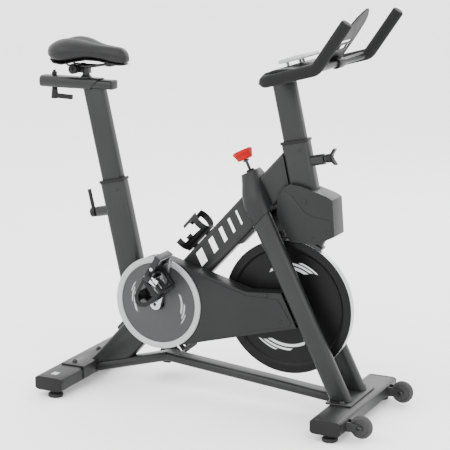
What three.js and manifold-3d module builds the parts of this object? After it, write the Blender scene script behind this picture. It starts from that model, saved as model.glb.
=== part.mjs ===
// Upright exercise bike with a belt-driven flywheel, as an assembly of separate closed solids.
// Millimetres. +X is the riding direction, +Y the rider's left, +Z up.
// The origin lies on the floor under the middle of the bounding box.
import * as THREE from "three";
import { mergeVertices } from "three/addons/utils/BufferGeometryUtils.js";
import Module from "manifold-3d";

const wasm = await Module();
wasm.setup();

// ---------------------------------------------------------------- driving dimensions

// Fits
const TOUCH_GAP = 0.3; // between two pieces that bear on each other
const SLIDE_FIT = 0.6; // each side of a piece that slides in another
const TURN_FIT = 0.4; // round a piece that turns in another
const CUT_FIT = 0.5; // round a piece that passes through a cut in another

// Stabilisers, feet and transport wheels
const STABILISER_LENGTH = 500;
const STABILISER_SPAN = 976; // between the two centre lines
const STABILISER_WIDTH = 100;
const STABILISER_TOP = 70;
const STABILISER_BOTTOM = 24;
const STABILISER_CROWN = 7; // rise of the crowned top and bottom over the side walls
const STABILISER_WALL = 3;
const END_CAP_THICKNESS = 12;
const FOOT_RADIUS = 25;
const FOOT_HEIGHT = 14;
const FOOT_INSET = 28; // from the stabiliser's end to the foot's axis
const FOOT_STEM_RADIUS = 6;
const FOOT_STEM_LENGTH = 26;
const FOOT_TRAVEL = 8;
const WHEEL_RADIUS = 36;
const WHEEL_WIDTH = 24;
const WHEEL_INSET = 66; // from the stabiliser's end to the wheel's middle
const WHEEL_HEIGHT = 45; // axle above the floor
const WHEEL_REACH = 94; // axle ahead of the front stabiliser's centre
const WHEEL_CHEEK = 4;

// Frame tubes
const BASE_TUBE_WIDTH = 60;
const BASE_TUBE_HEIGHT = 30;
const BASE_TUBE_WALL = 2.5;
const MAIN_TUBE_DEPTH = 96;
const MAIN_TUBE_WIDTH = 50;
const TUBE_WALL = 2.5;
const SLEEVE_DEPTH = 88; // seat tube and head tube, fore and aft
const SLEEVE_WIDTH = 50;
const SLEEVE_RADIUS = 14;
const POST_DEPTH = 74;
const POST_WIDTH = 38;
const POST_RADIUS = 11;
const POST_WALL = 3;
const POST_LEAN = 0.2217; // rearward run for each unit of rise of both sleeves
const SEAT_TUBE_TOP = 690;
const SEAT_POST_TOP = 992;
const SEAT_POST_INSERT = 190;
const HEAD_TUBE_TOP = 868;
const HEAD_TUBE_BOTTOM = 696;
const BAR_POST_TOP = 1050;
const BAR_POST_INSERT = 108;
const BUSH_DEPTH = 55;
const BUSH_FLANGE = 8;
const BRACKET_THICKNESS = 5;
const BRACKET_WIDTH = 220;

// Front fork and flywheel
const FORK_LEAN = 0.4973; // rearward run for each unit of rise
const LEG_DEPTH = 64;
const LEG_WIDTH = 40;
const LEG_OFFSET = 62; // middle of a leg from the middle plane
const SHROUD_WALL = 3;
const FLYWHEEL_RADIUS = 218;
const FLYWHEEL_RIM = 26;
const FLYWHEEL_HEIGHT = 340;
const AXLE_SETBACK = 77; // axle behind the legs' centre line, at the axle's height
const AXLE_RADIUS = 10;
const DROPOUT_THICKNESS = 6;

// Drive
const CRANK_HEIGHT = 320;
const CRANK_LENGTH = 150;
const CRANK_ANGLE = 74; // degrees above the horizontal, near crank
const CRANK_INNER = 88; // crank's inner face from the middle plane
const CRANK_THICKNESS = 14;
const SPINDLE_RADIUS = 10;
const DRIVE_PULLEY_RADIUS = 110;
const FLYWHEEL_PULLEY_RADIUS = 30;
const BELT_NEAR = 39; // belt's outer and inner edges from the middle plane, near side
const BELT_FAR = 29;
const BELT_THICKNESS = 3;
const GUARD_FACE = 79; // guard's outer face from the middle plane
const GUARD_WALL = 3;
const GUARD_RING_RADIUS = 153;
const GUARD_RING_WIDTH = 20;
const PEDAL_LENGTH = 92;
const PEDAL_WIDTH = 88;
const PEDAL_THICKNESS = 22;
const PEDAL_OFFSET = 160; // pedal's middle from the middle plane
const PEDAL_SPINDLE_RADIUS = 6;
const PEDAL_DIP = 59.5; // degrees that the toe hangs below the horizontal

// Saddle
const RAIL_BEAM_WIDTH = 48;
const RAIL_BEAM_HEIGHT = 30;
const RAIL_BEAM_LENGTH = 178;
const SLIDER_WALL = 3.4;
const SADDLE_LENGTH = 265;
const SADDLE_WIDTH = 196;
const SADDLE_NOSE = 52;
const SADDLE_RAIL_RADIUS = 3.5;
const SADDLE_RAIL_OFFSET = 22;

// Handlebar
const BAR_HALF_WIDTH = 217;
const BAR_TUBE_RADIUS = 12.5;
const FOAM_RADIUS = 18;
const BAR_ARM_LENGTH = 178;
const BAR_ARM_SLOPE = 15.4; // degrees
const BAR_HORN_LENGTH = 168;
const BAR_HORN_SLOPE = 55.5; // degrees

// Brake and resistance
const BRAKE_ROD_RADIUS = 5;
const BRAKE_TRAVEL = 6;
const KNOB_HEIGHT = 829;
const HOUSING_HALF_WIDTH = 40;

// ---------------------------------------------------------------- shape helpers

const side = (x, z) => new THREE.Vector2(x, z);
const place = (point, y = 0) => new THREE.Vector3(point.x, y, point.y);
const degrees = (angle) => (angle * Math.PI) / 180;
const heading = (angle) => side(Math.cos(degrees(angle)), Math.sin(degrees(angle)));
const step = (point, direction, distance) => point.clone().addScaledVector(direction, distance);
const across = (direction) => side(direction.y, -direction.x); // a quarter turn clockwise

// A three.js geometry as a solid for joining and cutting, with its faces pointing out.
function toSolid(geometry) {
  const bare = geometry.index ? geometry.toNonIndexed() : geometry.clone();
  bare.deleteAttribute("normal");
  bare.deleteAttribute("uv");
  const merged = mergeVertices(bare, 1e-3);
  const triVerts = new Uint32Array(merged.index.array);
  const vertProperties = merged.attributes.position.array;
  const made = new wasm.Manifold(new wasm.Mesh({ numProp: 3, vertProperties, triVerts }));
  if (made.volume() >= 0) return made;
  for (let i = 0; i < triVerts.length; i += 3) {
    [triVerts[i + 1], triVerts[i + 2]] = [triVerts[i + 2], triVerts[i + 1]];
  }
  return new wasm.Manifold(new wasm.Mesh({ numProp: 3, vertProperties, triVerts }));
}

// A solid as a three.js geometry for a mesh.
function toGeometry(solid) {
  const mesh = solid.getMesh();
  const positions = new Float32Array(mesh.numVert * 3);
  for (let i = 0; i < mesh.numVert; i += 1) {
    positions.set(mesh.vertProperties.subarray(i * mesh.numProp, i * mesh.numProp + 3), i * 3);
  }
  const geometry = new THREE.BufferGeometry();
  geometry.setAttribute("position", new THREE.BufferAttribute(positions, 3));
  geometry.setIndex(new THREE.BufferAttribute(new Uint32Array(mesh.triVerts), 1));
  geometry.computeVertexNormals();
  return geometry;
}

const join = (...solids) => solids.reduce((whole, next) => whole.add(next));
const cut = (whole, ...tools) => tools.reduce((left, tool) => left.subtract(tool), whole);

// A box between two values on each axis.
function block(x0, x1, y0, y1, z0, z1) {
  const geometry = new THREE.BoxGeometry(x1 - x0, y1 - y0, z1 - z0);
  return toSolid(geometry.translate((x0 + x1) / 2, (y0 + y1) / 2, (z0 + z1) / 2));
}

// A round bar between two points, tapered when a second radius is given.
function rod(from, to, radius, sides = 16, endRadius = radius) {
  const run = to.clone().sub(from);
  const geometry = new THREE.CylinderGeometry(endRadius, radius, run.length(), sides);
  const turn = new THREE.Quaternion().setFromUnitVectors(
    new THREE.Vector3(0, 1, 0),
    run.clone().normalize(),
  );
  geometry.applyQuaternion(turn);
  const middle = from.clone().add(to).multiplyScalar(0.5);
  return toSolid(geometry.translate(middle.x, middle.y, middle.z));
}

// A round bar across the bike at a point of the side view.
const crossRod = (point, y0, y1, radius, sides = 16) =>
  rod(place(point, y0), place(point, y1), radius, sides);

// A turned piece from a profile of [radius, height] pairs, standing on a point along a direction.
function turned(profile, from, direction, sides = 24) {
  const geometry = new THREE.LatheGeometry(
    profile.map(([radius, height]) => new THREE.Vector2(radius, height)),
    sides,
  );
  const turn = new THREE.Quaternion().setFromUnitVectors(new THREE.Vector3(0, 1, 0), direction);
  geometry.applyQuaternion(turn);
  return toSolid(geometry.translate(from.x, from.y, from.z));
}

// A side-view outline extruded across the bike.
function sidePlate(points, y0, y1) {
  const geometry = new THREE.ExtrudeGeometry(new THREE.Shape(points), {
    depth: y1 - y0,
    bevelEnabled: false,
  });
  return toSolid(geometry.rotateX(Math.PI / 2).translate(0, y1, 0));
}

// Corners of a rectangle with rounded corners.
function roundedOutline(width, height, radius, arcSteps = 3) {
  const points = [];
  for (const [quarter, sx, sy] of [[0, 1, 1], [1, -1, 1], [2, -1, -1], [3, 1, -1]]) {
    for (let i = 0; i <= arcSteps; i += 1) {
      const angle = ((quarter + i / arcSteps) * Math.PI) / 2;
      points.push(
        new THREE.Vector2(
          sx * (width / 2 - radius) + radius * Math.cos(angle),
          sy * (height / 2 - radius) + radius * Math.sin(angle),
        ),
      );
    }
  }
  return points;
}

// A straight bar between two points of the side view, with an outline whose first axis lies in
// the side view and whose second runs across the bike.
function bar(outline, from, to, y = 0) {
  const run = to.clone().sub(from);
  const geometry = new THREE.ExtrudeGeometry(new THREE.Shape(outline), {
    depth: run.length(),
    bevelEnabled: false,
  });
  const way = run.clone().normalize();
  geometry.applyMatrix4(
    new THREE.Matrix4().makeBasis(
      new THREE.Vector3(way.y, 0, -way.x),
      new THREE.Vector3(0, 1, 0),
      new THREE.Vector3(way.x, 0, way.y),
    ),
  );
  return toSolid(geometry.translate(from.x, y, from.y));
}

// A straight bar with a flat oval or rounded section.
const tube = (depth, width, radius, from, to, y = 0) =>
  bar(roundedOutline(depth, width, radius), from, to, y);

// A bar that lies level across the bike or along it, given by its section in the plane at
// right angles to it and running between two X values.
function levelBeam(width, height, radius, x0, x1, z) {
  return bar(roundedOutline(height, width, radius), side(x0, z), side(x1, z));
}

// A closed skin through rings of equal point counts, with flat ends.
function loft(rings) {
  const count = rings[0].length;
  const positions = [];
  const push = (...points) => points.forEach((p) => positions.push(p.x, p.y, p.z));
  for (let k = 0; k + 1 < rings.length; k += 1) {
    for (let i = 0; i < count; i += 1) {
      const j = (i + 1) % count;
      push(rings[k][i], rings[k][j], rings[k + 1][j]);
      push(rings[k][i], rings[k + 1][j], rings[k + 1][i]);
    }
  }
  for (const [ring, flip] of [[rings[0], true], [rings[rings.length - 1], false]]) {
    const middle = ring
      .reduce((sum, p) => sum.add(p), new THREE.Vector3())
      .multiplyScalar(1 / count);
    for (let i = 0; i < count; i += 1) {
      const j = (i + 1) % count;
      if (flip) push(middle, ring[j], ring[i]);
      else push(middle, ring[i], ring[j]);
    }
  }
  const geometry = new THREE.BufferGeometry();
  geometry.setAttribute("position", new THREE.Float32BufferAttribute(positions, 3));
  return toSolid(geometry);
}

// A path of straight runs whose corners are rounded to the given radius.
function roundedPath(points, radius) {
  const path = new THREE.CurvePath();
  let start = points[0];
  for (let i = 1; i + 1 < points.length; i += 1) {
    const back = points[i - 1].clone().sub(points[i]).normalize();
    const ahead = points[i + 1].clone().sub(points[i]).normalize();
    const half = back.angleTo(ahead) / 2;
    const trim = radius / Math.tan(half);
    const enter = points[i].clone().addScaledVector(back, trim);
    const leave = points[i].clone().addScaledVector(ahead, trim);
    path.add(new THREE.LineCurve3(start, enter));
    path.add(new THREE.QuadraticBezierCurve3(enter, points[i], leave));
    start = leave;
  }
  path.add(new THREE.LineCurve3(start, points[points.length - 1]));
  return path;
}

// A round bar along a path
function bentTube(path, radius, sides, steps) {
  const points = [];
  for (let i = 0; i < sides; i += 1) {
    const angle = (2 * Math.PI * i) / sides;
    points.push(new THREE.Vector2(radius * Math.cos(angle), radius * Math.sin(angle)));
  }
  const geometry = new THREE.ExtrudeGeometry(new THREE.Shape(points), {
    extrudePath: path,
    steps,
    bevelEnabled: false,
  });
  return toSolid(geometry);
}

// The finished assembly and its colours
const group = new THREE.Group();
group.name = "exercise_bike";
const FINISHES = {
  charcoal: { color: 0x3f4144, roughness: 0.45, metalness: 0.35 },
  black_plastic: { color: 0x242526, roughness: 0.55, metalness: 0.0 },
  grey_plastic: { color: 0x8f9296, roughness: 0.5, metalness: 0.0 },
  silver: { color: 0xd6d8da, roughness: 0.35, metalness: 0.3 },
  steel: { color: 0xb9bcbf, roughness: 0.3, metalness: 1.0 },
  iron: { color: 0x16171a, roughness: 0.35, metalness: 0.6 },
  red: { color: 0xc8141c, roughness: 0.35, metalness: 0.0 },
  foam: { color: 0x1d1e1f, roughness: 0.95, metalness: 0.0 },
  vinyl: { color: 0x202123, roughness: 0.6, metalness: 0.0 },
  rubber: { color: 0x191a1b, roughness: 0.85, metalness: 0.0 },
};

// Adds one named piece to the assembly.
function addPiece(name, solid, finish) {
  const mesh = new THREE.Mesh(
    toGeometry(solid),
    new THREE.MeshStandardMaterial(FINISHES[finish]),
  );
  mesh.name = name;
  group.add(mesh);
  return mesh;
}

// ---------------------------------------------------------------- layout of the side view

const rearX = -STABILISER_SPAN / 2;
const frontX = STABILISER_SPAN / 2;
const halfStabiliser = STABILISER_WIDTH / 2;
const halfDepth = MAIN_TUBE_DEPTH / 2;
const halfSleeve = SLEEVE_DEPTH / 2;
const crownTop = STABILISER_TOP + TOUCH_GAP;

// Head joint: the main tube's centre line meets the head tube's. Both ends follow the stabilisers.
const mainFoot = side(rearX + 68, 44);
const headJoint = side(frontX - 197.5, 818);
const mainWay = headJoint.clone().sub(mainFoot).normalize();
const mainDown = across(mainWay); // from the centre line towards the underside
const mainAt = (z) => step(mainFoot, mainWay, (z - mainFoot.y) / mainWay.y);
const postWay = side(-POST_LEAN, 1).normalize();
const postAhead = across(postWay); // towards the front, at right angles to the posts
const seatAt = (z) => side(rearX + 119.3 - (z - 688) * POST_LEAN, z);
const headAt = (z) => side(headJoint.x - (z - headJoint.y) * POST_LEAN, z);
const forkWay = side(-FORK_LEAN, 1).normalize();
const forkAt = (z) => side(frontX + 17 - z * FORK_LEAN, z);
const axle = side(forkAt(FLYWHEEL_HEIGHT).x - AXLE_SETBACK, FLYWHEEL_HEIGHT);
const crankCentre = mainAt(CRANK_HEIGHT);

// Base tube: low at both ends, highest at its bend.
const baseTop = BASE_TUBE_HEIGHT / 2;
const baseStart = side(rearX + halfStabiliser + BRACKET_THICKNESS + 2 * TOUCH_GAP, 49);
const baseBend = side(rearX + 320, 121);
const baseEnd = side(frontX - halfStabiliser - TOUCH_GAP, 62);
const riseWay = baseBend.clone().sub(baseStart).normalize();
const fallWay = baseEnd.clone().sub(baseBend).normalize();

// Where the centre line of the brake rod leaves the main tube
const rodAt = (distance) => step(rodCross, forkWay, distance);
const crossing = (point, way, otherPoint, otherWay) => {
  const gap = otherPoint.clone().sub(point);
  return step(point, way, gap.cross(otherWay) / way.cross(otherWay));
};
const rodCross = crossing(forkAt(0), forkWay, mainFoot, mainWay);
const upperFace = step(mainFoot, mainDown, -halfDepth);
const lowerFace = step(mainFoot, mainDown, halfDepth);

// The main tube's straight volume, wider by a margin
function mainVolume(margin) {
  return tube(
    MAIN_TUBE_DEPTH + 2 * margin,
    MAIN_TUBE_WIDTH + 2 * margin,
    10,
    step(mainFoot, mainWay, -160),
    step(headJoint, mainWay, 60),
  );
}

// A sleeve's outer volume between two heights of a post's centre line, wider by a margin
const sleeveVolume = (at, low, high, margin) =>
  tube(SLEEVE_DEPTH + 2 * margin, SLEEVE_WIDTH + 2 * margin, SLEEVE_RADIUS, at(low), at(high));

// ---------------------------------------------------------------- stabilisers and feet

// Half-barrel section of a stabiliser about its own centre, smaller all round by a wall
function stabiliserOutline(wall) {
  const low = STABILISER_BOTTOM + wall;
  const top = STABILISER_TOP - wall;
  const w = halfStabiliser - wall;
  const c = STABILISER_CROWN;
  return [
    [-w, low + c], [-w + 4, low + 2.5], [-w + 16, low], [w - 16, low], [w - 4, low + 2.5],
    [w, low + c], [w, top - c], [w - 4, top - 2.5], [w - 14, top], [-w + 14, top],
    [-w + 4, top - 2.5], [-w, top - c],
  ];
}

const stabiliserAt = (x, wall = 0) => stabiliserOutline(wall).map(([dx, z]) => side(x + dx, z));
const halfLength = STABILISER_LENGTH / 2;
const footY = halfLength - FOOT_INSET;
const stemTop = FOOT_HEIGHT + FOOT_STEM_LENGTH;
const FEET = [
  ["rear", "R", rearX + 12, -1],
  ["rear", "L", rearX + 12, 1],
  ["front", "R", frontX + 7, -1],
  ["front", "L", frontX + 7, 1],
];

// The hole in the stabiliser's floor that a foot's stem screws into
const footBore = (x, y) =>
  rod(
    new THREE.Vector3(x, y, STABILISER_BOTTOM - 4),
    new THREE.Vector3(x, y, stemTop + 3),
    FOOT_STEM_RADIUS + TURN_FIT,
    12,
  );

for (const [end, hand, x, sign] of FEET) {
  const profile = [
    [0, 0], [FOOT_RADIUS, 0], [FOOT_RADIUS, FOOT_HEIGHT - 3], [FOOT_RADIUS - 3, FOOT_HEIGHT],
    [FOOT_STEM_RADIUS, FOOT_HEIGHT], [FOOT_STEM_RADIUS, stemTop], [0, stemTop],
  ];
  const base = new THREE.Vector3(x, sign * footY, 0);
  addPiece(`foot_${end}_${hand}`, turned(profile, base, new THREE.Vector3(0, 0, 1), 16), "rubber");
}

// Forked cheeks that carry a transport wheel ahead of the front stabiliser
const wheelAxle = side(frontX + WHEEL_REACH, WHEEL_HEIGHT);
const wheelY = halfLength - WHEEL_INSET;
const wheelGap = WHEEL_WIDTH / 2 + SLIDE_FIT + 0.6;
function wheelFork(sign) {
  const root = frontX + halfStabiliser - 2;
  const outline = [
    side(root, WHEEL_HEIGHT - 16), side(wheelAxle.x, WHEEL_HEIGHT - 11),
    side(wheelAxle.x + 9, WHEEL_HEIGHT - 5), side(wheelAxle.x + 9, WHEEL_HEIGHT + 5),
    side(wheelAxle.x, WHEEL_HEIGHT + 11), side(root, WHEEL_HEIGHT + 16),
  ];
  const y = sign * wheelY;
  const cheeks = [-1, 1].map((s) => {
    const inner = y + s * wheelGap;
    const outer = y + s * (wheelGap + WHEEL_CHEEK);
    return sidePlate(outline, Math.min(inner, outer), Math.max(inner, outer));
  });
  const reach = wheelGap + WHEEL_CHEEK;
  const pin = crossRod(wheelAxle, y - reach - 2, y + reach + 2, 5, 12);
  return join(...cheeks, pin);
}

for (const [end, x] of [["rear", rearX], ["front", frontX]]) {
  const capStart = halfLength - END_CAP_THICKNESS;
  const outside = sidePlate(stabiliserAt(x), -capStart + TOUCH_GAP, capStart - TOUCH_GAP);
  let body = outside.subtract(sidePlate(stabiliserAt(x, STABILISER_WALL), -capStart, capStart));
  for (const [footEnd, , footX, sign] of FEET) {
    if (footEnd === end) body = body.subtract(footBore(footX, sign * footY));
  }
  if (end === "front") body = join(body, wheelFork(-1), wheelFork(1));
  addPiece(`stabiliser_${end}`, body, "charcoal");
  for (const [hand, sign] of [["R", -1], ["L", 1]]) {
    const near = sign * capStart;
    const far = sign * halfLength;
    const cap = sidePlate(stabiliserAt(x), Math.min(near, far), Math.max(near, far));
    addPiece(`end_cap_${end}_${hand}`, cap, "black_plastic");
  }
}

for (const [hand, sign] of [["R", -1], ["L", 1]]) {
  const half = WHEEL_WIDTH / 2;
  const bore = 5 + TURN_FIT;
  const profile = [
    [bore, -half], [WHEEL_RADIUS - 6, -half], [WHEEL_RADIUS, -half + 5], [WHEEL_RADIUS, half - 5],
    [WHEEL_RADIUS - 6, half], [bore, half], [bore, -half],
  ];
  const wheel = turned(profile, place(wheelAxle, sign * wheelY), new THREE.Vector3(0, 1, 0), 20);
  addPiece(`transport_wheel_${hand}`, wheel, "rubber");
}

// ---------------------------------------------------------------- base tube and rear bracket

// The bent base tube's volume, wider by a margin and thinner for its bore
function baseVolume(height, width, radius, over = 0) {
  const outline = roundedOutline(height, width, radius);
  const back = step(baseStart, riseWay, -40);
  const ahead = step(baseEnd, fallWay, 40);
  const rise = bar(outline, back, step(baseBend, riseWay, 0.01));
  const fall = bar(outline, step(baseBend, fallWay, -0.01), ahead);
  const elbow = crossRod(baseBend, -width / 2 + radius, width / 2 - radius, height / 2, 24);
  const keep = block(baseStart.x - over, baseEnd.x + over, -200, 200, 0, 400);
  return join(rise, fall, elbow).intersect(keep);
}

const baseTube = baseVolume(BASE_TUBE_HEIGHT, BASE_TUBE_WIDTH, 12);
const baseBore = baseVolume(
  BASE_TUBE_HEIGHT - 2 * BASE_TUBE_WALL,
  BASE_TUBE_WIDTH - 2 * BASE_TUBE_WALL,
  10,
  5,
);
addPiece("base_tube", cut(baseTube, baseBore), "charcoal");

// Saddle-shaped bracket that lies over the rear stabiliser's crown and down its front wall
const bracketTop = crownTop + BRACKET_THICKNESS;
const bracketFront = rearX + halfStabiliser + TOUCH_GAP;
const rearBracket = sidePlate(
  [
    side(rearX - halfStabiliser + 16, crownTop), side(rearX - halfStabiliser + 16, bracketTop),
    side(bracketFront + BRACKET_THICKNESS, bracketTop),
    side(bracketFront + BRACKET_THICKNESS, STABILISER_BOTTOM + 10),
    side(bracketFront, STABILISER_BOTTOM + 10), side(bracketFront, crownTop),
  ],
  -BRACKET_WIDTH / 2,
  BRACKET_WIDTH / 2,
);
const bracketBolts = [-1, 1].map((sign) =>
  rod(
    new THREE.Vector3(rearX + 2, sign * (BRACKET_WIDTH / 2 - 30), bracketTop - 1),
    new THREE.Vector3(rearX + 2, sign * (BRACKET_WIDTH / 2 - 30), bracketTop + 6),
    9,
    12,
  ),
);
addPiece("rear_bracket", join(rearBracket, ...bracketBolts), "charcoal");

// ---------------------------------------------------------------- main tube, seat tube, head tube

// Everything under the line that the main tube's foot stands on
const footLine = step(baseStart, across(riseWay), -(baseTop + TOUCH_GAP));
const footFar = step(footLine, riseWay, 400);
const underFoot = join(
  sidePlate(
    [side(footLine.x - 0.5, -300), footLine.clone().add(side(-0.5, -0.14)), footFar, side(footFar.x, -300)],
    -120,
    120,
  ),
  block(rearX - 400, bracketFront + BRACKET_THICKNESS + TOUCH_GAP, -120, 120, -300, bracketTop + TOUCH_GAP),
);
const crankBore = crossRod(crankCentre, -60, 60, 24 + TURN_FIT, 28);
const rodBore = rod(
  place(rodAt(-140)),
  place(rodAt(140)),
  BRAKE_ROD_RADIUS + SLIDE_FIT,
  12,
);
const mainBore = tube(
  MAIN_TUBE_DEPTH - 2 * TUBE_WALL,
  MAIN_TUBE_WIDTH - 2 * TUBE_WALL,
  8,
  step(mainFoot, mainWay, -160),
  step(headJoint, mainWay, 60),
);
const headRear = step(headAt(HEAD_TUBE_TOP), postAhead, -halfSleeve - TOUCH_GAP);
const headCut = sidePlate(
  [
    step(headRear, postWay, -500), step(headRear, postWay, 400),
    step(step(headRear, postWay, 400), postAhead, 500),
    step(step(headRear, postWay, -500), postAhead, 500),
  ],
  -120,
  120,
);
// Gusset behind the seat tube and a screwed bracket plate under the tube
const gussetFoot = mainAt(148);
const gusset = sidePlate(
  [
    step(gussetFoot, mainDown, -halfDepth + 1), step(step(gussetFoot, mainWay, 70), mainDown, -halfDepth + 1),
    step(step(gussetFoot, mainWay, 62), mainDown, -halfDepth - 12),
    step(step(gussetFoot, mainWay, 6), mainDown, -halfDepth - 12),
  ],
  -3,
  3,
);
const lugFoot = mainAt(560);
const lug = sidePlate(
  [
    step(lugFoot, mainDown, halfDepth - 1), step(step(lugFoot, mainWay, 90), mainDown, halfDepth - 1),
    step(step(lugFoot, mainWay, 70), mainDown, halfDepth + 9),
    step(step(lugFoot, mainWay, 12), mainDown, halfDepth + 9),
  ],
  -16,
  16,
);
const mainTube = cut(
  join(cut(mainVolume(0), mainBore), gusset, lug),
  underFoot,
  headCut,
  crankBore,
  rodBore,
);
addPiece("main_tube", mainTube, "charcoal");

// A boss with a bored sprung pin for one of the two posts: sign -1 behind, +1 ahead.
const BOSS_RADIUS = 17;
const BOSS_LENGTH = 40;
const PIN_RADIUS = 6;
const PIN_TRAVEL = 12;
function pinFrame(at, z, sign) {
  const way = postAhead.clone().multiplyScalar(sign);
  const centre = at(z);
  return { way, up: postWay, centre, reach: (d, rise = 0) => step(step(centre, way, d), postWay, rise) };
}
function bossOn(frame, length) {
  const boss = rod(place(frame.reach(halfSleeve - 4)), place(frame.reach(halfSleeve + length)), BOSS_RADIUS, 20);
  const bore = rod(place(frame.reach(10)), place(frame.reach(halfSleeve + length + 5)), PIN_RADIUS + SLIDE_FIT, 14);
  return { boss, bore };
}

// A hollow sleeve tube with its boss
function sleeveTube(at, low, high, frame, length, trim) {
  const outer = sleeveVolume(at, low, high, 0);
  const bore = tube(
    SLEEVE_DEPTH - 2 * TUBE_WALL,
    SLEEVE_WIDTH - 2 * TUBE_WALL,
    SLEEVE_RADIUS - TUBE_WALL,
    at(low - 5),
    at(high + 5),
  );
  const pin = bossOn(frame, length);
  return cut(join(outer, pin.boss), bore, pin.bore, ...trim);
}

const seatPin = pinFrame(seatAt, 600, -1);
const barPin = pinFrame(headAt, 806, 1);
const underSeat = sidePlate(
  [
    step(upperFace, mainWay, -400), step(upperFace, mainWay, 900),
    step(step(upperFace, mainWay, 900), mainDown, 500), step(step(upperFace, mainWay, -400), mainDown, 500),
  ].map((p) => step(p, mainDown, -TOUCH_GAP)),
  -120,
  120,
);
addPiece(
  "seat_tube",
  sleeveTube(seatAt, 150, SEAT_TUBE_TOP, seatPin, BOSS_LENGTH, [underSeat]),
  "charcoal",
);
addPiece(
  "head_tube",
  sleeveTube(headAt, HEAD_TUBE_BOTTOM, HEAD_TUBE_TOP, barPin, BOSS_LENGTH, []),
  "charcoal",
);

// Plastic bush in a sleeve's mouth, with a flange on its rim
function bush(at, top) {
  const inner = SLIDE_FIT + TUBE_WALL;
  const liner = tube(
    SLEEVE_DEPTH - 2 * inner,
    SLEEVE_WIDTH - 2 * inner,
    SLEEVE_RADIUS - inner,
    step(at(top), postWay, -BUSH_DEPTH),
    step(at(top), postWay, 3),
  );
  const flange = tube(
    SLEEVE_DEPTH + 6,
    SLEEVE_WIDTH + 6,
    SLEEVE_RADIUS,
    step(at(top), postWay, TOUCH_GAP),
    step(at(top), postWay, TOUCH_GAP + BUSH_FLANGE),
  );
  const bore = postVolume(at, top - BUSH_DEPTH - 10, top + BUSH_FLANGE + 10, SLIDE_FIT);
  return cut(join(liner, flange), bore);
}

// A post's volume between two heights, wider by a margin
function postVolume(at, low, high, margin) {
  return tube(POST_DEPTH + 2 * margin, POST_WIDTH + 2 * margin, POST_RADIUS, at(low), at(high));
}

addPiece("seat_tube_bush", bush(seatAt, SEAT_TUBE_TOP), "black_plastic");
addPiece("head_tube_bush", bush(headAt, HEAD_TUBE_TOP), "black_plastic");

// ---------------------------------------------------------------- fork, shroud and housing

const plateTop = crownTop + 6;
const legFoot = forkAt(plateTop + TOUCH_GAP);
const legHalfRun = LEG_DEPTH / 2 / forkWay.y; // half a leg's width measured level
const legInner = LEG_OFFSET - LEG_WIDTH / 2;

// Plane along the underside of the main tube where the legs meet the shroud
const splitLine = step(mainFoot, mainDown, halfDepth + 7);
const aboveSplit = (gap) =>
  sidePlate(
    [
      step(splitLine, mainWay, -500), step(splitLine, mainWay, 1500),
      step(step(splitLine, mainWay, 1500), mainDown, -700),
      step(step(splitLine, mainWay, -500), mainDown, -700),
    ].map((p) => step(p, mainDown, gap)),
    -200,
    200,
  );
const belowSplit = (gap) =>
  sidePlate(
    [
      step(splitLine, mainWay, -500), step(splitLine, mainWay, 1500),
      step(step(splitLine, mainWay, 1500), mainDown, 900),
      step(step(splitLine, mainWay, -500), mainDown, 900),
    ].map((p) => step(p, mainDown, -gap)),
    -200,
    200,
  );

// One leg's outer volume, wider by a margin
const legVolume = (sign, margin) =>
  tube(
    LEG_DEPTH + 2 * margin,
    LEG_WIDTH + 2 * margin,
    16,
    forkAt(0),
    forkAt(mainAt(HEAD_TUBE_TOP).y),
    sign * LEG_OFFSET,
  );

// Plate that reaches back from a leg to the flywheel's axle
const dropoutInner = legInner + 5;
function dropout(sign) {
  const root = step(forkAt(axle.y), forkWay, 0);
  const outline = [
    step(root, forkWay, -38), side(axle.x + 4, axle.y - 19), side(axle.x - 12, axle.y - 16),
    side(axle.x - 19, axle.y - 5), side(axle.x - 19, axle.y + 7), side(axle.x - 11, axle.y + 17),
    side(axle.x + 4, axle.y + 19), step(root, forkWay, 46),
  ];
  const inner = sign * dropoutInner;
  const outer = sign * (dropoutInner + DROPOUT_THICKNESS);
  return sidePlate(outline, Math.min(inner, outer), Math.max(inner, outer));
}

const forkFloor = block(frontX - 900, frontX + 600, -200, 200, -50, plateTop + TOUCH_GAP);
for (const [hand, sign] of [["R", -1], ["L", 1]]) {
  const bore = tube(
    LEG_DEPTH - 2 * TUBE_WALL,
    LEG_WIDTH - 2 * TUBE_WALL,
    14,
    forkAt(0),
    forkAt(mainAt(HEAD_TUBE_TOP).y),
    sign * LEG_OFFSET,
  );
  const axleHole = crossRod(axle, -90, 90, AXLE_RADIUS + TOUCH_GAP, 16);
  const leg = cut(
    join(cut(legVolume(sign, 0), bore), dropout(sign)),
    forkFloor,
    aboveSplit(TOUCH_GAP),
    axleHole,
  );
  addPiece(`fork_leg_${hand}`, leg, "charcoal");
}

const axleEnd = dropoutInner + DROPOUT_THICKNESS + 14;
const axleNut = (sign) =>
  crossRod(
    axle,
    Math.min(sign * (dropoutInner + DROPOUT_THICKNESS + TOUCH_GAP), sign * (axleEnd - 4)),
    Math.max(sign * (dropoutInner + DROPOUT_THICKNESS + TOUCH_GAP), sign * (axleEnd - 4)),
    15,
    6,
  );
addPiece(
  "flywheel_axle",
  join(crossRod(axle, -axleEnd, axleEnd, AXLE_RADIUS, 16), axleNut(-1), axleNut(1)),
  "steel",
);

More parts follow.
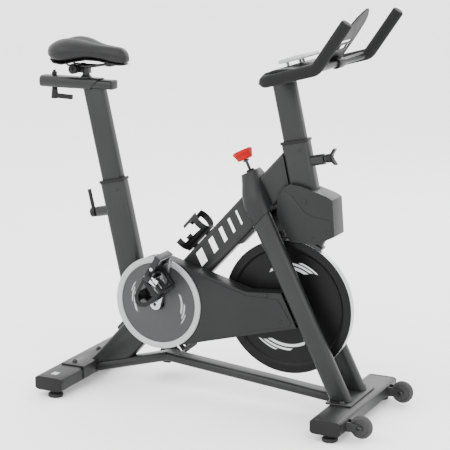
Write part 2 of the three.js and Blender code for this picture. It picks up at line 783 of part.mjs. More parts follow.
// Base plate of the fork on the front stabiliser's crown, notched for the base tube
const plateRear = legFoot.x - legHalfRun - 1;
const plateHalf = LEG_OFFSET + LEG_WIDTH / 2 + 22;
const forkPlate = cut(
  sidePlate(
    [
      side(plateRear, crownTop), side(frontX + 27, crownTop), side(frontX + 27, plateTop - 2),
      side(frontX + 25, plateTop), side(plateRear, plateTop),
    ],
    -plateHalf,
    plateHalf,
  ),
  block(
    plateRear - 20,
    frontX - halfStabiliser + 2,
    -BASE_TUBE_WIDTH / 2 - 1,
    BASE_TUBE_WIDTH / 2 + 1,
    0,
    plateTop + 20,
  ),
);
const plateBolts = [-1, 1].map((sign) =>
  rod(
    new THREE.Vector3(frontX - 6, sign * (plateHalf - 11), plateTop - 1),
    new THREE.Vector3(frontX - 6, sign * (plateHalf - 11), plateTop + 6),
    8,
    12,
  ),
);
addPiece("fork_base_plate", join(forkPlate, ...plateBolts), "charcoal");

// Hollow crown shroud: a cap at its top that widens down to the two legs
const shroudTop = KNOB_HEIGHT - 64;
const shroudLevels = [
  // [height of the centre line, half width across, half depth]
  [540, 84, 37], [680, 84, 37], [712, 70, 35], [740, 46, 32], [764, 31, 29],
].map(([z, y, d]) => [z - 764 + shroudTop, y, d]);
function shroudRings(margin) {
  return shroudLevels.map(([z, halfAcross, halfDeep]) => {
    const centre = forkAt(z);
    const radius = Math.min(halfDeep, halfAcross, 24) - margin;
    const outline = roundedOutline(
      2 * (halfDeep - margin),
      2 * (halfAcross - margin),
      radius - 2,
      3,
    );
    return outline.map((p) => {
      const at = step(centre, across(forkWay), p.x);
      return place(at, p.y);
    });
  });
}
const shroudCap = rod(place(rodAt(-400)), place(rodAt(400)), BRAKE_ROD_RADIUS + SLIDE_FIT, 12);
const shroud = cut(
  loft(shroudRings(0)),
  loft(shroudRings(SHROUD_WALL)).intersect(
    join(belowSplit(400)).intersect(
      block(-900, 900, -200, 200, 0, forkAt(shroudTop - 6).y),
    ),
  ),
  mainVolume(CUT_FIT),
  belowSplit(0),
  shroudCap,
);
const shroudBodies = shroud.decompose().sort((a, b) => b.volume() - a.volume());
addPiece("fork_shroud", shroudBodies[0], "charcoal");

// Resistance housing between the legs, under the head tube and open towards the rim
const housingOutline = [
  axle.clone().add(side(-25, 358)), axle.clone().add(side(-4, 390)),
  axle.clone().add(side(18, 403)), axle.clone().add(side(56, 399)),
  axle.clone().add(side(140, 374)), axle.clone().add(side(159, 364)),
  axle.clone().add(side(168, 250)), axle.clone().add(side(110, 220)),
  axle.clone().add(side(18, 220)), axle.clone().add(side(-26, 300)),
];
const rimClear = crossRod(axle, -FLYWHEEL_RIM, FLYWHEEL_RIM, FLYWHEEL_RADIUS + 16, 72);
const inset = (points, d) => {
  const middle = points.reduce((sum, p) => sum.add(p), side(0, 0)).multiplyScalar(1 / points.length);
  return points.map((p) => step(p, p.clone().sub(middle).normalize(), -d * 1.35));
};
const housingInner = join(
  sidePlate(inset(housingOutline, 3), -HOUSING_HALF_WIDTH + 3, HOUSING_HALF_WIDTH - 3),
  sidePlate(
    [
      axle.clone().add(side(158, 262)), axle.clone().add(side(-4, 262)),
      axle.clone().add(side(0, 100)), axle.clone().add(side(150, 100)),
    ],
    -HOUSING_HALF_WIDTH + 3,
    HOUSING_HALF_WIDTH - 3,
  ),
);
const housing = cut(
  sidePlate(housingOutline, -HOUSING_HALF_WIDTH, HOUSING_HALF_WIDTH),
  housingInner,
  mainVolume(CUT_FIT),
  sleeveVolume(headAt, HEAD_TUBE_BOTTOM - 3, HEAD_TUBE_TOP, CUT_FIT),
  rimClear,
);
const housingBodies = housing.decompose().sort((a, b) => b.volume() - a.volume());
const carrierPivot = axle.clone().add(side(132, 268));
const pivotPin = crossRod(carrierPivot, -HOUSING_HALF_WIDTH + 1, HOUSING_HALF_WIDTH - 1, 4, 12);
addPiece("resistance_housing", join(housingBodies[0], pivotPin), "charcoal");

// Magnet shoe that swings up from the rim about a cross pin inside the housing
const SHOE_GAP = 5;
const shoeInner = FLYWHEEL_RADIUS + SHOE_GAP;
const arcPoint = (radius, angle) => step(axle, heading(angle), radius);
const shoeOutline = [
  ...[60, 65, 70, 75, 80, 85].map((a) => arcPoint(shoeInner, a)),
  ...[85, 80, 75, 70, 65, 60].map((a) => arcPoint(shoeInner + 11, a)),
];
const shoeArm = sidePlate(
  [
    arcPoint(shoeInner + 8, 61), arcPoint(shoeInner + 8, 71),
    carrierPivot.clone().add(side(-7, 6)), carrierPivot.clone().add(side(3, 10)),
    carrierPivot.clone().add(side(10, 0)), carrierPivot.clone().add(side(4, -9)),
  ],
  -9,
  9,
);
const carrier = cut(
  join(sidePlate(shoeOutline, -18, 18), shoeArm),
  crossRod(carrierPivot, -30, 30, 4 + TURN_FIT, 12),
);
addPiece("magnet_carrier", carrier, "steel");

// ---------------------------------------------------------------- flywheel

const rimHalf = FLYWHEEL_RIM / 2;
const flywheelProfile = [
  [AXLE_RADIUS + TURN_FIT, -rimHalf - 3], [28, -rimHalf - 3], [28, -6],
  [FLYWHEEL_RADIUS - 34, -6], [FLYWHEEL_RADIUS - 28, -rimHalf], [FLYWHEEL_RADIUS, -rimHalf],
  [FLYWHEEL_RADIUS, rimHalf], [FLYWHEEL_RADIUS - 28, rimHalf], [FLYWHEEL_RADIUS - 34, 6],
  [28, 6], [28, rimHalf + 3], [AXLE_RADIUS + TURN_FIT, rimHalf + 3],
  [AXLE_RADIUS + TURN_FIT, -rimHalf - 3],
];
const beltPulley = (radius, hub, inner) => [
  [inner, -BELT_NEAR - 1], [hub, -BELT_NEAR - 1], [hub, -BELT_NEAR], [radius, -BELT_NEAR],
  [radius, -BELT_FAR], [hub, -BELT_FAR],
];
const flywheel = turned(flywheelProfile, place(axle), new THREE.Vector3(0, 1, 0), 40);
const smallPulley = turned(
  [
    ...beltPulley(FLYWHEEL_PULLEY_RADIUS, 20, AXLE_RADIUS + TURN_FIT),
    [20, -rimHalf + 1], [AXLE_RADIUS + TURN_FIT, -rimHalf + 1], [AXLE_RADIUS + TURN_FIT, -BELT_NEAR - 1],
  ],
  place(axle),
  new THREE.Vector3(0, 1, 0),
  20,
);
addPiece("flywheel", join(flywheel, smallPulley), "iron");

// ---------------------------------------------------------------- drive and guard

// Bottom bracket shell through the main tube, with the spindle turning in it
const shellHalf = MAIN_TUBE_WIDTH / 2 + 1;
addPiece(
  "bottom_bracket_shell",
  cut(
    crossRod(crankCentre, -shellHalf, shellHalf + 12, 24, 28),
    crossRod(crankCentre, -60, 60, SPINDLE_RADIUS + TURN_FIT, 20),
  ),
  "steel",
);
const spindleEnd = CRANK_INNER + CRANK_THICKNESS - 2;
const pulleyProfile = [
  [0, -spindleEnd], [SPINDLE_RADIUS, -spindleEnd], [SPINDLE_RADIUS, -BELT_NEAR - 2],
  [20, -BELT_NEAR - 2], [20, -BELT_NEAR + 3], [DRIVE_PULLEY_RADIUS - 10, -BELT_NEAR + 3],
  [DRIVE_PULLEY_RADIUS - 10, -BELT_NEAR], [DRIVE_PULLEY_RADIUS, -BELT_NEAR],
  [DRIVE_PULLEY_RADIUS, -BELT_FAR], [20, -BELT_FAR], [20, -BELT_FAR + 1],
  [SPINDLE_RADIUS, -BELT_FAR + 1], [SPINDLE_RADIUS, spindleEnd], [0, spindleEnd],
];
addPiece(
  "crank_spindle_pulley",
  turned(pulleyProfile, place(crankCentre), new THREE.Vector3(0, 1, 0), 36),
  "steel",
);

// Outline of a loop round two circles of the side view
function loopOutline(centreA, radiusA, centreB, radiusB, arcSteps) {
  const span = centreB.clone().sub(centreA);
  const lean = Math.atan2(span.y, span.x);
  const spread = Math.acos((radiusA - radiusB) / span.length());
  const points = [];
  for (let i = 0; i <= arcSteps; i += 1) {
    const angle = lean + spread + ((2 * Math.PI - 2 * spread) * i) / arcSteps;
    points.push(centreA.clone().add(side(Math.cos(angle), Math.sin(angle)).multiplyScalar(radiusA)));
  }
  for (let i = 0; i <= arcSteps / 2; i += 1) {
    const angle = lean - spread + (2 * spread * i * 2) / arcSteps;
    points.push(centreB.clone().add(side(Math.cos(angle), Math.sin(angle)).multiplyScalar(radiusB)));
  }
  return points;
}
const beltLoop = (grow, y0, y1, arcSteps) =>
  sidePlate(
    loopOutline(
      crankCentre,
      DRIVE_PULLEY_RADIUS + grow,
      axle,
      FLYWHEEL_PULLEY_RADIUS + grow,
      arcSteps,
    ),
    y0,
    y1,
  );
addPiece(
  "drive_belt",
  cut(
    beltLoop(1 + BELT_THICKNESS, -BELT_NEAR + 0.5, -BELT_FAR - 0.5, 20),
    beltLoop(1, -60, 60, 20),
  ),
  "rubber",
);

// Guard outline: a disc round the cranks that tapers forward to the fork leg
const guardOutline = [
  ...loopOutline(crankCentre, GUARD_RING_RADIUS - 2, axle, 2, 32).slice(0, 33),
  axle.clone().add(side(-20, -66)), axle.clone().add(side(60, -46)),
  axle.clone().add(side(110, -20)), axle.clone().add(side(110, 20)),
  axle.clone().add(side(20, 62)), axle.clone().add(side(-112, 52)),
];
const guardBack = MAIN_TUBE_WIDTH / 2 + 2 * TOUCH_GAP;
const GUARD_PLATE = 2;
const aheadOfLeg = cut(
  block(frontX - 800, frontX + 500, -110, 0, 0, 1200),
  bar(
    roundedOutline(900, 300, 5),
    step(step(forkAt(0), across(forkWay), -LEG_DEPTH / 2 - 3 - 450), forkWay, -400),
    step(step(forkAt(0), across(forkWay), -LEG_DEPTH / 2 - 3 - 450), forkWay, 1400),
  ),
);
const guardFill = sidePlate(guardOutline, -GUARD_FACE, -guardBack - GUARD_PLATE - TOUCH_GAP);
const guardHollow = sidePlate(
  inset(guardOutline, GUARD_WALL * 0.9),
  -GUARD_FACE + GUARD_WALL,
  -guardBack + 5,
);
const hubHole = crossRod(crankCentre, -120, -20, 21, 28);
const guardShell = cut(
  guardFill,
  guardHollow,
  aheadOfLeg,
  hubHole,
  // the dropout and the axle's end come in through the open front edge
  block(axle.x - 24, axle.x + 160, -66, 0, axle.y - 44, axle.y + 50),
);
addPiece("guard_shell", guardShell, "charcoal");
addPiece(
  "guard_back_plate",
  cut(
    sidePlate(inset(guardOutline, 4), -guardBack - GUARD_PLATE, -guardBack),
    crossRod(crankCentre, -60, 0, 27, 28),
    crossRod(axle, -60, 0, 44, 32),
    block(axle.x - 44, axle.x + 200, -60, 0, axle.y - 44, axle.y + 44),
    aheadOfLeg,
  ),
  "charcoal",
);
const ringOuter = GUARD_RING_RADIUS;
const ringInner = GUARD_RING_RADIUS - GUARD_RING_WIDTH;
const ringBack = -GUARD_FACE - TOUCH_GAP;
addPiece(
  "guard_ring",
  turned(
    [
      [ringInner, ringBack], [ringOuter, ringBack], [ringOuter - 3, ringBack - 5],
      [ringInner + 3, ringBack - 5], [ringInner, ringBack],
    ],
    place(crankCentre),
    new THREE.Vector3(0, 1, 0),
    44,
  ),
  "silver",
);

// ---------------------------------------------------------------- cranks and pedals

const spindleReach = PEDAL_OFFSET + PEDAL_WIDTH / 2 + 2;
for (const [hand, sign, angle] of [["R", -1, CRANK_ANGLE], ["L", 1, CRANK_ANGLE + 180]]) {
  const way = heading(angle);
  const end = step(crankCentre, way, CRANK_LENGTH);
  const inner = sign * CRANK_INNER;
  const outer = sign * (CRANK_INNER + CRANK_THICKNESS);
  const y0 = Math.min(inner, outer);
  const y1 = Math.max(inner, outer);
  const outline = [];
  for (let i = 0; i <= 10; i += 1) {
    const turn = degrees(angle + 100 + 16 * i);
    outline.push(crankCentre.clone().add(side(Math.cos(turn), Math.sin(turn)).multiplyScalar(19)));
  }
  for (let i = 0; i <= 8; i += 1) {
    const turn = degrees(angle - 84 + 21 * i);
    outline.push(end.clone().add(side(Math.cos(turn), Math.sin(turn)).multiplyScalar(14)));
  }
  const stub = crossRod(
    end,
    Math.min(sign * (CRANK_INNER + 2), sign * spindleReach),
    Math.max(sign * (CRANK_INNER + 2), sign * spindleReach),
    PEDAL_SPINDLE_RADIUS,
    14,
  );
  const bore = crossRod(
    crankCentre,
    Math.min(0, sign * (CRANK_INNER + CRANK_THICKNESS - 1.6)),
    Math.max(0, sign * (CRANK_INNER + CRANK_THICKNESS - 1.6)),
    SPINDLE_RADIUS + TOUCH_GAP,
    20,
  );
  addPiece(`crank_${hand}`, cut(join(sidePlate(outline, y0, y1), stub), bore), "steel");

  // Pedal: a cage of two side rails and three cross bars round a bored barrel
  const toe = heading(-(180 - PEDAL_DIP) + 0);
  const top = across(toe).multiplyScalar(-1);
  const local = (t, n) => step(step(end, toe, t), top, n);
  const mid = sign * PEDAL_OFFSET;
  const half = PEDAL_WIDTH / 2;
  const span = PEDAL_LENGTH / 2;
  const thick = PEDAL_THICKNESS / 2;
  const slab = (t0, t1, n0, n1, yLow, yHigh) =>
    sidePlate([local(t0, n0), local(t1, n0), local(t1, n1), local(t0, n1)], mid + yLow, mid + yHigh);
  const frame = join(
    slab(-span, span, -thick + 2, thick - 2, -half, -half + 10),
    slab(-span, span, -thick + 2, thick - 2, half - 10, half),
    slab(span - 9, span, -thick, thick, -half, half),
    slab(-span, -span + 9, -thick, thick, -half, half),
    slab(-13, 13, -thick + 1, thick - 1, -half, half),
  );
  const pedalBore = crossRod(end, mid - half - 5, mid + half + 5, PEDAL_SPINDLE_RADIUS + TURN_FIT, 14);
  addPiece(`pedal_${hand}`, frame.subtract(pedalBore), "silver");

  // Toe cage bolted to the pedal's front edge, with its strap loop over the foot
  const t0 = span + TOUCH_GAP;
  const hoop = (points, yLow, yHigh) => sidePlate(points.map(([t, n]) => local(t, n)), mid + yLow, mid + yHigh);
  const sole = hoop([[t0, -thick], [t0 + 4, -thick], [t0 + 4, thick], [t0, thick]], -half, half);
  const profile = [
    [t0, -thick], [112, -8], [132, 8], [134, 24], [122, 44], [74, 62], [34, 64],
    [34, 61], [73, 58.6], [119, 41.5], [130.4, 23], [129, 10], [110, -4.6], [t0, -thick + 3.6],
  ];
  const shell = hoop(profile, -half + 4, half - 4);
  const window = join(
    hoop([[t0 + 14, -30], [102, -30], [102, 20], [t0 + 14, 20]], -24, 24),
    hoop([[48, 40], [100, 40], [100, 90], [48, 90]], -22, 22),
    hoop([[120, 8], [150, 8], [150, 30], [120, 30]], -16, 16),
  );
  const wall = (yLow, yHigh) =>
    cut(
      hoop([[t0, -thick], [112, -8], [132, 8], [134, 24], [122, 44], [74, 62], [58, 63]], yLow, yHigh),
      hoop([[t0 + 12, -1], [104, 3], [118, 14], [119, 24], [108, 37], [76, 48]], yLow - 5, yHigh + 5),
    );
  const strapSide = (s) => {
    const near = s * (half + 0.6);
    const far = s * (half + 3.4);
    return hoop([[6, -9], [26, -9], [50, 64], [34, 64]], Math.min(near, far), Math.max(near, far));
  };
  const strapTop = hoop([[34, 61.4], [50, 61.4], [50, 64.4], [34, 64.4]], -half - 3.4, half + 3.4);
  const cageBody = join(
    cut(join(sole, shell), window),
    wall(-half + 4, -half + 7),
    wall(half - 7, half - 4),
    strapSide(-1),
    strapSide(1),
    strapTop,
  );
  addPiece(`toe_cage_${hand}`, cageBody, "black_plastic");
}

// ---------------------------------------------------------------- bottle cage

const cageStart = mainAt(449);
const CAGE_LENGTH = 116;
const CAGE_RADIUS = 37;
const CAGE_STAND = 8; // back bar above the tube's upper face
const cageAxis = (d) => step(step(cageStart, mainWay, d), mainDown, -halfDepth - CAGE_STAND - CAGE_RADIUS);
const cageBack = (d, n) => step(step(cageStart, mainWay, d), mainDown, -halfDepth - n);
const cageRing = turned(
  [
    [CAGE_RADIUS - 2.5, 0], [CAGE_RADIUS, 0], [CAGE_RADIUS, CAGE_LENGTH], [CAGE_RADIUS - 2.5, CAGE_LENGTH],
    [CAGE_RADIUS - 2.5, 0],
  ],
  place(cageAxis(0)),
  place(mainWay),
  28,
);
const cageWindow = (d0, d1, n0, n1, y0, y1) =>
  sidePlate([cageBack(d0, n0), cageBack(d1, n0), cageBack(d1, n1), cageBack(d0, n1)], y0, y1);
const farN = CAGE_STAND + 2 * CAGE_RADIUS;
const bottleCage = cut(
  join(
    cageRing,
    cageWindow(0, CAGE_LENGTH, CAGE_STAND - 2, CAGE_STAND + 3, -13, 13),
    cageWindow(18, 34, TOUCH_GAP, CAGE_STAND, -7, 7),
    cageWindow(CAGE_LENGTH - 34, CAGE_LENGTH - 18, TOUCH_GAP, CAGE_STAND, -7, 7),
    cageWindow(0, 4, CAGE_STAND - 1, CAGE_STAND + 24, -13, 13),
  ),
  cageWindow(22, CAGE_LENGTH - 22, CAGE_STAND + 16, farN - 18, -60, 60),
  cageWindow(-5, 52, CAGE_STAND + 44, farN + 9, -60, 60),
  cageWindow(48, CAGE_LENGTH + 5, farN - 16, farN + 9, -20, 20),
);
addPiece("bottle_cage", bottleCage, "black_plastic");

// ---------------------------------------------------------------- seat post, slider and saddle

const seatTop = seatAt(SEAT_POST_TOP);
const beamZ = SEAT_POST_TOP + 1 + RAIL_BEAM_HEIGHT / 2;
const beamX0 = seatTop.x - 107;
const beamX1 = beamX0 + RAIL_BEAM_LENGTH;
const postLow = (at, top, insert) => step(at(top), postWay, -insert);
const seatPostBar = cut(
  tube(
    POST_DEPTH,
    POST_WIDTH,
    POST_RADIUS,
    postLow(seatAt, SEAT_TUBE_TOP, SEAT_POST_INSERT),
    seatAt(SEAT_POST_TOP + 40),
  ),
  block(seatTop.x - 300, seatTop.x + 300, -60, 60, SEAT_POST_TOP + 2, SEAT_POST_TOP + 200),
);
const postBore = (at, top, insert, closed) =>
  tube(
    POST_DEPTH - 2 * POST_WALL,
    POST_WIDTH - 2 * POST_WALL,
    POST_RADIUS - POST_WALL,
    step(postLow(at, top, insert), postWay, -5),
    step(at(closed), postWay, -8),
  );
addPiece(
  "seat_post",
  join(
    seatPostBar.subtract(postBore(seatAt, SEAT_TUBE_TOP, SEAT_POST_INSERT, SEAT_POST_TOP - 10)),
    levelBeam(RAIL_BEAM_WIDTH, RAIL_BEAM_HEIGHT, 11, beamX0, beamX1, beamZ),
  ).subtract(
    levelBeam(
      RAIL_BEAM_WIDTH - 2 * POST_WALL,
      RAIL_BEAM_HEIGHT - 2 * POST_WALL,
      8,
      beamX0 - 5,
      beamX1 + 5,
      beamZ,
    ),
  ),
  "charcoal",
);

// Slider sleeve on the beam: closed behind, cut on the slant ahead, slotted for the post
const sliderGrow = 2 * (SLIDE_FIT + SLIDER_WALL);
const sliderX0 = seatTop.x - 195;
const sliderX1 = seatTop.x + 27;
const sliderTop = beamZ + RAIL_BEAM_HEIGHT / 2 + SLIDE_FIT + SLIDER_WALL;
const sliderLow = beamZ - RAIL_BEAM_HEIGHT / 2 - SLIDE_FIT - SLIDER_WALL;
const pillarX = seatTop.x - 32;
const PILLAR_RADIUS = 12;
const clampPoint = side(pillarX - 30, sliderTop + 28);
const leverX = sliderX0 + 42;
const LEVER_STEM = 5;
const saddlePillar = turned(
  [[0, -2], [19, -2], [19, 3], [PILLAR_RADIUS + 1, 8], [PILLAR_RADIUS, 12], [PILLAR_RADIUS, 34], [0, 34]],
  new THREE.Vector3(pillarX, 0, sliderTop),
  new THREE.Vector3(0, 0, 1),
  20,
);
const pillarArm = sidePlate(
  [
    side(clampPoint.x - 6, clampPoint.y - 9), side(clampPoint.x + 8, clampPoint.y - 12),
    side(pillarX + 14, sliderTop + 14), side(pillarX + 14, sliderTop + 34),
    side(clampPoint.x + 8, clampPoint.y + 11), side(clampPoint.x - 6, clampPoint.y + 9),
    side(clampPoint.x - 12, clampPoint.y),
  ],
  -10,
  10,
);
const slider = cut(
  join(
    levelBeam(RAIL_BEAM_WIDTH + sliderGrow, RAIL_BEAM_HEIGHT + sliderGrow, 14, sliderX0, sliderX1, beamZ),
    saddlePillar,
    pillarArm,
  ),
  levelBeam(
    RAIL_BEAM_WIDTH + 2 * SLIDE_FIT,
    RAIL_BEAM_HEIGHT + 2 * SLIDE_FIT,
    11,
    sliderX0 + 5,
    sliderX1 + 50,
    beamZ,
  ),
  // slot for the post, open ahead
  block(
    seatTop.x - POST_DEPTH / 2 - 46,
    sliderX1 + 20,
    -POST_WIDTH / 2 - 1.5,
    POST_WIDTH / 2 + 1.5,
    sliderLow - 5,
    beamZ - 4,
  ),
  // slanted front end
  sidePlate(
    [
      side(sliderX1 - 38, sliderLow - 1), side(sliderX1 + 1, sliderTop + 1), side(sliderX1 + 40, sliderTop + 1),
      side(sliderX1 + 40, sliderLow - 1),
    ],
    -60,
    60,
  ),
  rod(
    new THREE.Vector3(leverX, 0, sliderLow - 10),
    new THREE.Vector3(leverX, 0, sliderTop + 10),
    LEVER_STEM + TURN_FIT,
    14,
  ),
  crossRod(clampPoint, -20, 20, 4 + TURN_FIT, 14),
);
addPiece("saddle_slider", slider, "charcoal");

// Clamp lever under the slider, turning about its upright bolt
const leverZ = sliderLow - 29;
const sliderLever = join(
  rod(
    new THREE.Vector3(leverX, 0, leverZ),
    new THREE.Vector3(leverX, 0, sliderTop + 18),
    LEVER_STEM,
    14,
  ),
  rod(
    new THREE.Vector3(leverX, 0, sliderTop + TOUCH_GAP + 1),
    new THREE.Vector3(leverX, 0, sliderTop + 12),
    9,
    6,
  ),
  rod(
    new THREE.Vector3(leverX, 0, leverZ - 9),
    new THREE.Vector3(leverX, 0, sliderLow - 1),
    13,
    18,
    9,
  ),
  tube(16, 12, 4, side(leverX - 6, leverZ), side(leverX + 66, leverZ - 2)),
);
addPiece("slider_lever", sliderLever, "black_plastic");

// Saddle: half width, lowest and highest point along its length from the rear
const saddleRear = pillarX - 110;
const SADDLE_STATIONS = [
  // [share of the length, share of the rear width, underside, top at the crest, channel depth]
  [0.0, 0.52, 1106, 1128, 3], [0.05, 0.76, 1092, 1142, 7], [0.13, 0.94, 1083, 1152, 11],
  [0.26, 1.0, 1080, 1158, 13], [0.4, 0.88, 1088, 1154, 10], [0.53, 0.62, 1094, 1145, 6],
  [0.66, 0.42, 1091, 1138, 3], [0.8, 0.31, 1083, 1134, 1], [0.92, 0.265, 1079, 1129, 0],
  [0.98, 0.2, 1080, 1118, 0], [1.0, 0.12, 1084, 1104, 0],
];
const saddleLift = clampPoint.y - 1055;
const noseShare = SADDLE_NOSE / SADDLE_WIDTH;
function saddleSkin(lowShift, highShare, narrow) {
  return loft(
    SADDLE_STATIONS.map(([share, wide, low, high, dip]) => {
      const half = Math.max((SADDLE_WIDTH / 2) * wide, (SADDLE_WIDTH / 2) * noseShare * 0.5) * narrow;
      const x = saddleRear + share * SADDLE_LENGTH;
      const bottom = low + saddleLift + lowShift;
      const top = bottom + (high + saddleLift - bottom) * highShare;
      const rise = top - bottom;
      const sag = highShare < 1 ? 0 : dip;
      const sketch = [
        [0, rise - sag], [0.3, rise - sag * 0.45], [0.55, rise], [0.8, rise * 0.93], [0.97, rise * 0.66],
        [1, rise * 0.36], [0.93, 0], [0.45, 0],
      ];
      const points = sketch.map(([y, z]) => new THREE.Vector3(x, y * half, bottom + z));
      const mirrored = sketch.slice(1).reverse().map(([y, z]) => new THREE.Vector3(x, -y * half, bottom + z));
      return [...points, new THREE.Vector3(x, 0, bottom), ...mirrored];
    }),
  );
}
const SHELL_DROP = 4;
addPiece("saddle_pad", saddleSkin(0, 1, 1), "vinyl");

// Moulded base under the padding, with its two rail sockets
const saddleBase = loft(
  SADDLE_STATIONS.slice(1, 10).map(([share, wide, low]) => {
    const half = Math.max((SADDLE_WIDTH / 2) * wide, (SADDLE_WIDTH / 2) * noseShare * 0.5) * 0.9;
    const x = saddleRear + share * SADDLE_LENGTH;
    const top = low + saddleLift - TOUCH_GAP - 0.6;
    return [
      new THREE.Vector3(x, half, top), new THREE.Vector3(x, half, top - SHELL_DROP),
      new THREE.Vector3(x, -half, top - SHELL_DROP), new THREE.Vector3(x, -half, top),
    ];
  }),
);
const railRear = side(saddleRear + 30, 1076 + saddleLift);
const railLowRear = side(clampPoint.x - 26, clampPoint.y + 11);
const railLowFront = side(clampPoint.x + 62, clampPoint.y + 11);
const railFront = side(saddleRear + 205, 1074 + saddleLift);
const frontRailY = SADDLE_RAIL_OFFSET - 9;
const railSocket = (point, half) =>
  block(point.x - 9, point.x + 9, -half, half, point.y - 5, point.y + 9);
addPiece(
  "saddle_base",
  cut(
    join(
      saddleBase,
      railSocket(railRear, SADDLE_RAIL_OFFSET + 9),
      railSocket(railFront, SADDLE_RAIL_OFFSET - 1),
    ),
    saddleSkin(-TOUCH_GAP, 1, 1),
    saddleRail(-1, TURN_FIT),
    saddleRail(1, TURN_FIT),
  ),
  "black_plastic",
);

// Two saddle rails that run from the rear socket, through the clamp, to the nose socket
function saddleRail(sign, margin) {
  const path = roundedPath(
    [
      place(step(railRear, side(-1, 0), 5 + margin), sign * SADDLE_RAIL_OFFSET),
      place(step(railRear, side(1, 0), 14), sign * SADDLE_RAIL_OFFSET),
      place(railLowRear, sign * SADDLE_RAIL_OFFSET),
      place(railLowFront, sign * SADDLE_RAIL_OFFSET),
      place(step(railFront, side(-1, 0), 14), sign * frontRailY),
      place(step(railFront, side(1, 0), 5 + margin), sign * frontRailY),
    ],
    7,
  );
  return bentTube(path, SADDLE_RAIL_RADIUS + margin, 6, 22);
}
const railBridge = rod(
  place(step(railLowRear, side(1, 0), 6), -SADDLE_RAIL_OFFSET),
  place(step(railLowRear, side(1, 0), 6), SADDLE_RAIL_OFFSET),
  3,
  8,
);
addPiece("saddle_rails", join(saddleRail(-1, 0), saddleRail(1, 0), railBridge), "steel");
const clampCheeks = [-1, 1].map((sign) =>
  crossRod(clampPoint, Math.min(sign * 10.6, sign * 38), Math.max(sign * 10.6, sign * 38), 15, 22),
);
addPiece(
  "saddle_clamp",
  cut(
    join(...clampCheeks, crossRod(clampPoint, -44, 44, 4, 12)),
    saddleRail(-1, TOUCH_GAP + 0.1),
    saddleRail(1, TOUCH_GAP + 0.1),
    block(clampPoint.x - 30, clampPoint.x + 30, -SADDLE_RAIL_OFFSET, SADDLE_RAIL_OFFSET,
      clampPoint.y + 11 - SADDLE_RAIL_RADIUS, clampPoint.y + 30),
  ),
  "charcoal",
);

// ---------------------------------------------------------------- handlebar post and levers

const barPostTop = headAt(BAR_POST_TOP);
const barPost = tube(
  POST_DEPTH,
  POST_WIDTH,
  POST_RADIUS,
  postLow(headAt, HEAD_TUBE_TOP, BAR_POST_INSERT),
  barPostTop,
);
const barPostBore = postBore(headAt, HEAD_TUBE_TOP, BAR_POST_INSERT, BAR_POST_TOP);
addPiece("handlebar_post", barPost.subtract(barPostBore), "charcoal");

// A sprung pin whose collar stands off its boss, and the part that turns on it
function pinPiece(frame, length) {
  const tip = POST_DEPTH / 2 + 0.8;
  return join(
    rod(place(frame.reach(tip)), place(frame.reach(halfSleeve + length + 26)), PIN_RADIUS, 16),
    rod(
      place(frame.reach(halfSleeve + length + TOUCH_GAP)),
      place(frame.reach(halfSleeve + length + 7)),
      11,
      18,
    ),
  );
}
const leverBore = (frame, length) =>
  rod(
    place(frame.reach(halfSleeve + length + 5)),
    place(frame.reach(halfSleeve + length + 40)),
    PIN_RADIUS + TURN_FIT,
    16,
  );
addPiece("seat_pin", pinPiece(seatPin, BOSS_LENGTH), "steel");
addPiece("handlebar_pin", pinPiece(barPin, BOSS_LENGTH), "steel");
const seatHub = rod(
  place(seatPin.reach(halfSleeve + BOSS_LENGTH + 8)),
  place(seatPin.reach(halfSleeve + BOSS_LENGTH + 24)),
  16,
  20,
);
const seatHandle = rod(
  place(seatPin.reach(halfSleeve + BOSS_LENGTH + 16, 10)),
  place(seatPin.reach(halfSleeve + BOSS_LENGTH + 17, 78)),
  6.5,
  12,
);
addPiece(
  "seat_pin_handle",
  cut(join(seatHub, seatHandle), leverBore(seatPin, BOSS_LENGTH)),
  "black_plastic",
);
const barHub = rod(
  place(barPin.reach(halfSleeve + BOSS_LENGTH + 8)),
  place(barPin.reach(halfSleeve + BOSS_LENGTH + 24)),
  14,
  20,
);
const barArms = sidePlate(
  [
    [10, -6], [20, -8], [30, -22], [38, -24], [30, -8], [27, 0], [31, 10], [44, 24], [37, 28],
    [24, 14], [18, 8], [10, 6],
  ].map(([d, rise]) => barPin.reach(halfSleeve + BOSS_LENGTH + d, rise)),
  -9,
  9,
);
addPiece(
  "handlebar_pin_lever",
  cut(join(barHub, barArms), leverBore(barPin, BOSS_LENGTH)),
  "black_plastic",
);

// ---------------------------------------------------------------- handlebar, tray, display, holder

const barCentre = step(barPostTop, side(1, 0), 20).add(side(0, 30));
const armWay = heading(BAR_ARM_SLOPE);
const elbow = step(barCentre, armWay, BAR_ARM_LENGTH);
const hornTip = step(elbow, heading(BAR_HORN_SLOPE), BAR_HORN_LENGTH);
const BAR_CORNER = 34;
const clampHalf = 26;

// One side of the bar, from the middle of its rear cross piece to its horn's tip
const CROSS_BAR_RADIUS = 11;
function barSide(sign, radius) {
  const path = roundedPath(
    [
      place(barCentre),
      place(barCentre, sign * BAR_HALF_WIDTH),
      place(elbow, sign * BAR_HALF_WIDTH),
      place(hornTip, sign * BAR_HALF_WIDTH),
    ],
    BAR_CORNER,
  );
  return bentTube(path, radius, 8, 22);
}
const crossBar = step(elbow, armWay, -16);
const crossBarRod = (radius) => crossRod(crossBar, -BAR_HALF_WIDTH, BAR_HALF_WIDTH, radius, 14);
const handlebarClamp = sidePlate(
  [
    step(barPostTop, postAhead, -POST_DEPTH / 2), step(barPostTop, postAhead, POST_DEPTH / 2),
    step(barCentre, side(1, 0), 17), barCentre.clone().add(side(14, 15)),
    barCentre.clone().add(side(-14, 15)), step(barCentre, side(-1, 0), 19),
  ].map((p) => step(p, postWay, TOUCH_GAP)),
  -POST_WIDTH / 2,
  POST_WIDTH / 2,
);
